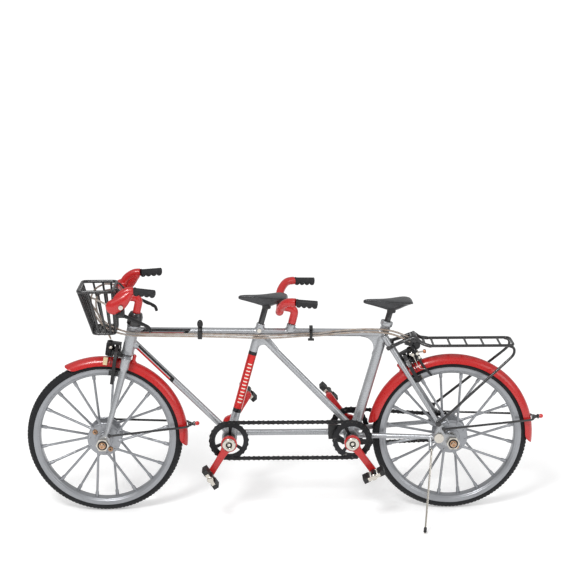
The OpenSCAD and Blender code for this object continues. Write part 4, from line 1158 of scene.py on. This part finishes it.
def chain(name, node, p1, r1, p2, r2, y):
    """Roller chain of separate links round two rings."""
    pitch = FULL_TURN * RING_R / RING_TEETH
    eye_r, plate = 0.98, 0.24
    pin = [(0.05, -0.86), (0.36, -0.86), (0.4, -0.8), (0.4, 0.8), (0.36, 0.86), (0.05, 0.86)]
    roller = [(0.05, -0.28), (0.62, -0.28), (0.62, 0.28), (0.05, 0.28)]
    line = belt_line(p1, r1, p2, r2)
    length = sum((b - a).length for a, b in zip(line, line[1:] + line[:1])) / MM
    count = 2 * round(length / pitch / 2)
    spots = even_points(line, count)
    bm = bmesh.new()
    for i, spot in enumerate(spots):
        after = spots[(i + 1) % count]
        gap = (after - spot).length / MM
        eyes = arc((0, 0), eye_r, 50, 310, 8) + arc((gap, 0), eye_r, -130, 130, 8)
        out = 0.66 if i % 2 else 0.4
        for side in (-1, 1):
            place = placed(spot + mm(0, y + side * out, 0), after - spot)
            slab(bm, eyes, place, plate)
        lathe(bm, pin, spot + mm(0, y, 0), RIGHT, 10, material=1)
        lathe(bm, roller, spot + mm(0, y, 0), RIGHT, 10)
    piece(name, bm, [CHAIN_BLACK, DARK_PARTS_AND_SHADE], "frame", [node])


def pedal(end, name, side):
    """A pedal: two ribbed rubber blocks, bright cage plates, a sleeve and its end cap."""
    centre = pivot(f"{end}_{name}_pedal_spin")
    turn = Matrix.Rotation(math.radians(-PEDAL_TURN[f"{end}_{name}"]), 4, "Y")
    place = Matrix.Translation(Vector((centre.x, 0, centre.z))) @ turn
    inner, outer, rib_pitch = 19.7, 27.9, 1.95
    bm = bmesh.new()

    def box_at(x1, x2, y, width, half, material):
        ys = sorted((side * y, side * (y + width)))
        block(bm, (x1, ys[0], -half), (x2, ys[1], half), place, material)

    for way in (-1, 1):
        x1, x2 = sorted((way * 2.6, way * 5.7))
        box_at(x1, x2, inner + 0.1, outer - inner - 0.2, 1.25, 0)
        for i in range(4):
            box_at(x1 - 0.18, x2 + 0.18, inner + 0.9 + i * rib_pitch, 1.15, 1.4, 0)
    for y in (inner - 0.1, outer - 0.4):
        box_at(-3.4, 3.4, y, 0.5, 1.0, 1)
    low, high = sorted((side * (inner - 0.4), side * (outer - 0.1)))
    sleeve = [(0.9, low), (1.35, low), (1.45, low + 0.3), (1.45, high - 0.3), (1.35, high),
              (0.9, high)]
    lathe(bm, sleeve, place.translation, RIGHT, 28, True)
    cap = [(0.05, 0.55), (1.0, 0.5), (1.5, 0.35), (1.68, 0.1), (1.68, 0), (0.05, 0)]
    lathe(bm, cap, place @ mm(0, side * (outer - 0.1), 0), Vector((0, side, 0)), 28, material=1)
    piece(f"{end}_{name}_pedal_block", bm, [MOULDED, NICKEL], f"{end}_{name}_pedal",
          [f"{end}_{name}_pedal"], bevel=0.16)


# ---------------------------------------------------------------- brakes

def rear_brake_guides(bm):
    """What hangs from the carrier behind the rear brake: a cable stop, two guide arms whose
    tails reach past the rim, their spring wires, and a screw with a brass head."""
    drum = [(0.1, -3.6), (1.8, -3.6), (2.0, -3.3), (2.0, 3.3), (1.8, 3.6), (0.1, 3.6)]
    rivet = [(0.05, 0.4), (0.7, 0.35), (0.8, 0.1), (0.8, -0.3), (0.05, -0.3)]
    knob = [(0.05, 2.4), (0.95, 2.4), (1.05, 2.7), (1.05, 3.6), (0.7, 3.9), (0.05, 3.9)]
    arm = (mm(70.8, -3.2, 89.8), mm(71.6, -5.3, 87.6), mm(74.2, -5.6, 82.6), mm(76.6, -5.6, 79),
           mm(80.1, -5.5, 74.9))
    wire = (mm(69.4, -5.4, 87.6), mm(70.2, -6.3, 86.2), mm(73.2, -6.6, 79.8),
            mm(74.2, -6.6, 78.9), mm(76.6, -6.4, 78.6))
    stop = placed(mm(70.4, 0, 91), mm(1, 0, -0.3))
    block(bm, (-3.9, -2.9, -1.5), (3.3, 2.9, 1.5), stop, 1)
    lathe(bm, drum, mm(72.4, 0, 90.2), RIGHT, 28, material=1)
    for side in (1, -1):
        arm_path = smooth_path([across(p, side) for p in arm], 5)
        tube(bm, arm_path, lambda share: (0.85 - 0.25 * share) * MM, 12, material=1)
        tube(bm, wire_path([across(p, side) for p in wire], 0.8 * MM), 0.24 * MM, 8)
        for x, z in ((70.2, 86), (72.6, 86.6), (73.6, 84.6)):
            lathe(bm, rivet, across(mm(x, -6, z), side), Vector((0, -side, 0)), 16)
    foot, way = mm(73.4, -4.2, 87), mm(1, 0, 0.14)
    tube(bm, [foot, foot + way.normalized() * 3 * MM], 0.45 * MM, 10)
    lathe(bm, knob, foot, way, 20, material=2)


def brake(end, angle, way):
    """Calliper: CAD body and arms, with springs, pivot heads, a ribbed barrel and an adjuster."""
    axle, carrier = AXLES[end], WHEEL_CARRIER[end]
    out = around(angle, 1)
    along = Vector((out.z, 0, -out.x))
    head = [(0.05, 1.25), (0.8, 1.2), (1.1, 0.9), (1.1, 0), (0.05, 0)]
    cap = [(0.5, 4.0), (1.1, 4.0), (1.15, 4.3), (1.15, 5.2), (0.8, 5.5), (0.5, 5.6)]
    adjuster = [(0.05, 1.6), (0.7, 1.6), (0.95, 1.3), (0.95, 0.3), (0.7, 0), (0.05, 0)]
    pivot_r, pivot_y, barrel_r = 46.9, 3.4, 2
    coils, coil_steps, coil_r, wire_r = 4, 60, 1.45, 0.22

    def spot(x, y, r):
        return axle + out * r * MM + along * x * MM + mm(0, y, 0)

    def pad_or_arm(place):
        near = place - axle
        height = near.dot(out) / MM
        offset = abs(near.dot(along)) / MM
        return 1 if abs(near.y) < 5.19 * MM and height < 37.4 and offset > 0.95 else 0

    dress(f"{end}_brake_body", BRAKE_BLACK)
    metal = bmesh.new()
    for side in (-1, 1):
        lathe(metal, head, spot(-way * 0.2, side * pivot_y, pivot_r), along * -way, 20)
        coil = []
        for k in range(coil_steps + 1):
            turn = FULL_TURN * coils * k / coil_steps
            coil.append(spot(-way * (1.15 + 0.95 * k / coil_steps),
                             side * pivot_y + coil_r * math.cos(turn),
                             pivot_r + coil_r * math.sin(turn)))
        tube(metal, coil, wire_r * MM, 8, material=1)
        tube(metal, [coil[-1], spot(-way * 2.1, side * 6.3, 41)], wire_r * MM, 8, material=1)
    barrel = spot(-way * 3.6, 0, pivot_r)
    lathe(metal, cap, barrel, out, 24, True, 1)
    for turn in circle(20):
        rib = barrel + (along * math.cos(turn) + RIGHT * math.sin(turn)) * barrel_r * MM
        tube(metal, [rib - out * 2.3 * MM, rib + out * 3.7 * MM], 0.19 * MM, 6, material=1)
    lathe(metal, adjuster, spot(-way * 2.3, -3.4, 49.6), along * -way, 20)
    if end == "front":
        block(metal, (-1.1, -4.9, -1.9), (1.1, -3.6, 2.1),
              placed(spot(-way * 4.9, 0, 42), along), 3)
    else:
        rear_brake_guides(metal)
    piece(f"{end}_brake_fittings", metal, [NICKEL, BRAKE_BLACK, BRASS, BRAKE_PAD], carrier,
          sharp=45)
    pad = BRAKE_BLOCK if end == "front" else BRAKE_PAD
    for name in SIDES:
        dress(f"{end}_{name}_brake_arm", [BRAKE_BLACK, pad], 0.2, pad_or_arm)


# ---------------------------------------------------------------- cables

def cable_straps():
    """Two straps round the top tube: one with a round knob, one with a buckle."""
    low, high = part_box("cable_clips")
    way = TOP_TUBE[1] - TOP_TUBE[0]
    bm = bmesh.new()
    for x, half, knob in ((low.x + 1.7 * MM, 1.15, True), (high.x - 1.7 * MM, 0.75, False)):
        centre = TOP_TUBE[0].lerp(TOP_TUBE[1], (x - TOP_TUBE[0].x) / way.x)
        band = both_sides([(2.07, half), (2.5, half), (2.65, half * 0.7)])
        lathe(bm, band, centre, way, 40, True)
        side = placed(centre, way)
        block(bm, (-half, -4.25, -3.1), (half, -2.0, 0.7), side)
        if knob:
            lift = centre + mm(0, -0.4, 4.1)
            bmesh.ops.create_uvsphere(bm, u_segments=24, v_segments=16, radius=1, matrix=(
                Matrix.Translation(lift) @ Matrix.Diagonal((1.55 * MM, 1.2 * MM, 2.3 * MM, 1))))
        else:
            block(bm, (-0.9, -3.2, 2.2), (0.9, 0.9, 3.6), side)
            block(bm, (-1.6, -4.1, -3.5), (1.6, -1.6, -2.7), side)
    piece("cable_straps", bm, MOULDED, "frame", ["cable_clips"], bevel=0.15)


def cable(name, points, body, stands_for):
    """A braided casing through points given in millimetres."""
    bm = bmesh.new()
    tube(bm, smooth_path([mm(*p) for p in points], 7), 0.5 * MM, 12)
    piece(name, bm, BRAID, body, stands_for, sharp=70)


def cables():
    """Two long cables from the front bar back along the top tube, and the short front one."""
    loops = {
        "upper": [(-86.3, -21.6, 118), (-91, -17.5, 119.2), (-94.8, -10.5, 118.6),
                  (-96.4, -4, 116), (-94, -1.2, 110), (-89, -2, 103.6), (-82.9, -3.9, 100.6),
                  (-76, -4.7, 98.6), (-69, -3.5, 97.8), (-60, -2.8, 97.3), (-43, -2.8, 97.05),
                  (-37, -2.8, 96.95), (-24, -2.9, 96.6), (-10, -3.2, 96.2), (2, -3.1, 96.3),
                  (14, -2.8, 96.9), (21, -2.8, 97), (31, -2.9, 98.3), (43, -3.2, 99.2),
                  (54.5, -4.2, 99.2), (62, -3, 97.4), (68.8, -2, 94.2)],
        "lower": [(-86.3, 21.6, 118), (-91, 17.5, 119.2), (-95.4, 10.5, 117.8),
                  (-96.6, 3, 113.6), (-93.4, -3.4, 107), (-88.6, -4, 101.4), (-83, -5.1, 98.9),
                  (-76, -5.4, 97.4), (-69, -3.9, 96.6), (-60, -3, 96.15), (-43, -3, 95.9),
                  (-37, -3, 95.8), (-24, -3.2, 95.4), (-10, -3.6, 95), (2, -3.4, 95.1),
                  (14, -3, 95.75), (21, -3, 95.85), (31, -3.8, 97.1), (43, -4.4, 98),
                  (54.5, -5.3, 97.9), (62, -4.4, 95.9), (68.8, -3, 92.4)],
    }
    short = [(-86.3, 20.2, 115.8), (-90.5, 14, 116.4), (-94, 6, 114.4), (-93.2, 1.2, 108),
             (-89.2, 0, 100), (-86.7, 0, 94.4)]
    stands_for = {"upper": ["frame_cables"], "lower": []}
    bend = ("frame", "steering", mm(-76, 0, 0), mm(-90, 0, 0))
    for name, points in loops.items():
        cable(f"{name}_brake_cable", points, bend, stands_for[name])
    cable("front_brake_cable", short, "steering", ["steering_cables"])


# ---------------------------------------------------------------- saddles

def saddle(end):
    """A padded saddle: wide back, long nose, a keel below, piping along its edge."""
    low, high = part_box(f"{end}_saddle")
    length, top = (high.x - low.x) / MM, high.z / MM
    wide = (high.y - low.y) / MM / 2
    # share of the length, half width, drop of the top, depth of the keel
    stations = [
        (0.0, 0.5, 1.1, 1.0), (0.02, 0.85, 0.6, 1.9), (0.07, 1.25, 0.3, 2.6),
        (0.18, 1.6, 0.25, 3.4), (0.32, 2.1, 0.3, 4.4), (0.45, 3.0, 0.3, 5.5),
        (0.57, 4.4, 0.2, 6.5), (0.68, 5.7, 0.1, 6.2), (0.79, 6.6, -0.05, 5.0),
        (0.89, wide, 0.0, 3.7), (0.96, 6.2, 0.35, 2.7), (1.0, 4.6, 0.95, 1.8)]
    # across one section: share of the half width, share of the keel depth
    section = [(0, 0), (0.42, 0.0), (0.76, 0.04), (0.95, 0.16), (1.0, 0.3), (0.98, 0.42),
               (0.88, 0.54), (0.66, 0.7), (0.42, 0.86), (0.2, 0.97), (0, 1)]
    bm = bmesh.new()
    rings, edge = [], []
    for share, half, drop, keel in stations:
        x = low.x / MM + 0.25 + share * (length - 0.5)
        crown = top - 0.15 - drop
        right = []
        for wide_share, deep_share in section:
            deep = deep_share * keel
            if 0.1 < deep_share < 0.6:
                deep = min(deep, 3.4 * deep_share)
            right.append((wide_share * half, crown - deep))
        loop = right + [(-y, z) for y, z in reversed(right[1:-1])]
        rings.append([bm.verts.new(mm(x, y, z)) for y, z in loop])
        edge.append((x, half, crown - 0.75))
    join_rings(bm, rings)
    piece(f"{end}_saddle_pad", bm, SADDLE, f"{end}_seat", [f"{end}_saddle"],
          levels=3, sharp=180)
    seam = bmesh.new()
    inset = 0.985
    loop = [mm(x, -y * inset, z) for x, y, z in edge[1:]]
    loop += [mm(x, y * inset, z) for x, y, z in reversed(edge[1:])]
    tube(seam, smooth_path(loop, 6), 0.16 * MM, 8)
    clamp = [(1.62, -1.4), (2.1, -1.4), (2.3, -1.0), (2.3, 0.8), (1.62, 1.0)]
    lathe(seam, clamp, mm(low.x / MM + length * 0.575, 0, top - 6.2), UP, 32, True)
    piece(f"{end}_saddle_piping", seam, MOULDED, f"{end}_seat", sharp=50)


# ---------------------------------------------------------------- the whole object

for end in ("front", "rear"):
    tyre(end)
    rim(end)
    spokes(end)
    hub(end)
    crank_arms(end)
    saddle(end)
    for name, side in SIDES.items():
        pedal(end, name, side)

casting("frame_casting", "frame_tubes", SILVER, "frame", 0.36)
casting("fork_casting", "fork", PLAIN_SILVER, "steering", 0.32)
handlebar("front_handlebar", "handlebar", FRONT_BAR,
          [on_steering(66), on_steering(77.4), FRONT_CROSS], "steering")
handlebar("stoker_handlebar", "stoker_bar", REAR_BAR,
          [on_stoker_stem(4.5), on_stoker_stem(12.2), REAR_CROSS], "frame")
grips("front_grip_pair", "front_grips", FRONT_GRIP, "steering")
grips("stoker_grip_pair", "stoker_grips", REAR_GRIP, "frame")
lever_hoods()
brake_levers()
basket()
rack()
guard("front", -6.7, 117.3, 68.6)
guard("rear", -6, 171, 126)
guard_stay("front", mm(-87.4, -13.9, 45.6), 8)
guard_stay("rear", mm(86.1, -15, 48.4), 11.5)
kickstand()
ring("front_timing_chainring", "front_timing_ring", "front", TIMING_Y, 85, -8.3)
ring("rear_timing_chainring", "rear_timing_ring", "rear", TIMING_Y, 115, -8.3)
ring("drive_chainring", "drive_ring", "rear", DRIVE_Y, 60, 8.3)
chain("timing_chain_links", "timing_chain", BRACKETS["front"], RING_R, BRACKETS["rear"], RING_R,
      TIMING_Y)
chain("drive_chain_links", "drive_chain", BRACKETS["rear"], RING_R, AXLES["rear"], SPROCKET_R,
      DRIVE_Y)
brake("front", 81.1, 1)
brake("rear", 119.5, -1)
cables()

for node in ("bearings", "seat_clamp_screws", "front_axle", "rear_axle"):
    dress(node, NICKEL, 0.1)
axle_caps("front", 15.76)
axle_caps("rear", 16.86)
for node in ("front_seatpost", "rear_seatpost", "headset_locknut"):
    dress(node, BLACK, 0.12)
dress("chain_guide", MOULDED, 0.15)
cable_straps()
dress("sprocket", CHAIN_BLACK, 0.06)
dress("lever_clamps", [BRAKE_BLACK, NICKEL], 0.15,
      lambda place: 1 if abs(place.y) > 24.65 * MM else 0)


# ---------------------------------------------------------------- floor, light and camera

def studio_floor():
    """White paper that glows a little, and more away from the object, so that it stays white
    under a soft light."""
    side, near, far_edge = 6, -3, 9
    corners = ((-side, near, 0), (side, near, 0), (side, far_edge, 0), (-side, far_edge, 0))
    mesh = bpy.data.meshes.new("studio_floor")
    mesh.from_pydata(corners, [], [(0, 1, 2, 3)])
    look = Finish("studio_paper")
    tone = look.mix(look.noise(3, 3), (0.84, 0.84, 0.84), (0.88, 0.88, 0.88))
    look.feed(look.surface.inputs["Emission Color"], (1, 1, 1))
    far = look.nodes.new("ShaderNodeVectorMath")
    far.operation = "LENGTH"
    look.feed(far.inputs[0], look.place)
    glow = look.remap(far.outputs["Value"], 0.15, 1.2, 0.3, 0.56)
    look.feed(look.surface.inputs["Emission Strength"], glow)
    mesh.materials.append(look.finish(tone, 0.9))
    floor = bpy.data.objects.new("studio_floor", mesh)
    bpy.context.scene.collection.objects.link(floor)
    floor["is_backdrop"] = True


def soft_light(name, place, aim, size, power):
    data = bpy.data.lights.new(name, "AREA")
    data.shape = "DISK"
    data.size = size
    data.energy = power
    lamp = bpy.data.objects.new(name, data)
    lamp.location = place
    lamp.rotation_euler = (Vector(aim) - Vector(place)).to_track_quat("-Z", "Y").to_euler()
    bpy.context.scene.collection.objects.link(lamp)
    lamp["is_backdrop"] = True


def studio_air(scene):
    """A white backdrop for the camera, and a dimmer room, brighter overhead, for the light."""
    world = bpy.data.worlds.new("studio_air")
    world.use_nodes = True
    nodes, links = world.node_tree.nodes, world.node_tree.links
    coords = nodes.new("ShaderNodeTexCoord")
    split = nodes.new("ShaderNodeSeparateXYZ")
    links.new(coords.outputs["Generated"], split.inputs[0])
    room = nodes.new("ShaderNodeMapRange")
    for name, number in (("From Min", 0.0), ("From Max", 1.0), ("To Min", 0.32), ("To Max", 0.8)):
        room.inputs[name].default_value = number
    links.new(split.outputs[2], room.inputs["Value"])
    path = nodes.new("ShaderNodeLightPath")
    seen = nodes.new("ShaderNodeMix")
    links.new(path.outputs["Is Camera Ray"], seen.inputs["Factor"])
    links.new(room.outputs["Result"], seen.inputs["A"])
    seen.inputs["B"].default_value = 1.05
    back = nodes["Background"]
    back.inputs["Color"].default_value = (1, 1, 1, 1)
    links.new(seen.outputs["Result"], back.inputs["Strength"])
    scene.world = world


def studio():
    scene = bpy.context.scene
    scene.view_settings.view_transform = "Standard"
    studio_air(scene)
    studio_floor()
    soft_light("key_light", (-0.3, -0.7, 0.85), (0, 0, 0.06), 0.3, 6)
    soft_light("fill_light", (0.7, -0.5, 0.45), (0, 0, 0.06), 0.5, 1.5)


def photo_camera():
    """The photo's viewpoint: slightly above, square on to the left side."""
    pitch, yaw, roll = (math.radians(angle) for angle in (13.29, 0.65, -0.21))
    ahead = Vector((math.sin(yaw) * math.cos(pitch), math.cos(yaw) * math.cos(pitch),
                    -math.sin(pitch)))
    right = Vector((math.cos(yaw), -math.sin(yaw), 0))
    top = right.cross(ahead)
    level = right * math.cos(roll) + top * math.sin(roll)
    above = top * math.cos(roll) - right * math.sin(roll)
    data = bpy.data.cameras.new("photo_camera")
    data.lens = 95.94
    data.clip_start = 0.01
    camera = bpy.data.objects.new("photo_camera", data)
    turn = Matrix((level, above, -ahead)).transposed().to_4x4()
    camera.matrix_world = Matrix.Translation(mm(-4.5, -763.8, 302.7)) @ turn
    bpy.context.scene.collection.objects.link(camera)
    bpy.context.scene.camera = camera


studio()
photo_camera()


def plain(value):
    """Bounds as plain lists of numbers."""
    if isinstance(value, (Vector, list, tuple)):
        return [plain(v) for v in value]
    return float(value)


{"cad": plain(CAD_BOX), "shown": plain(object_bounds())}
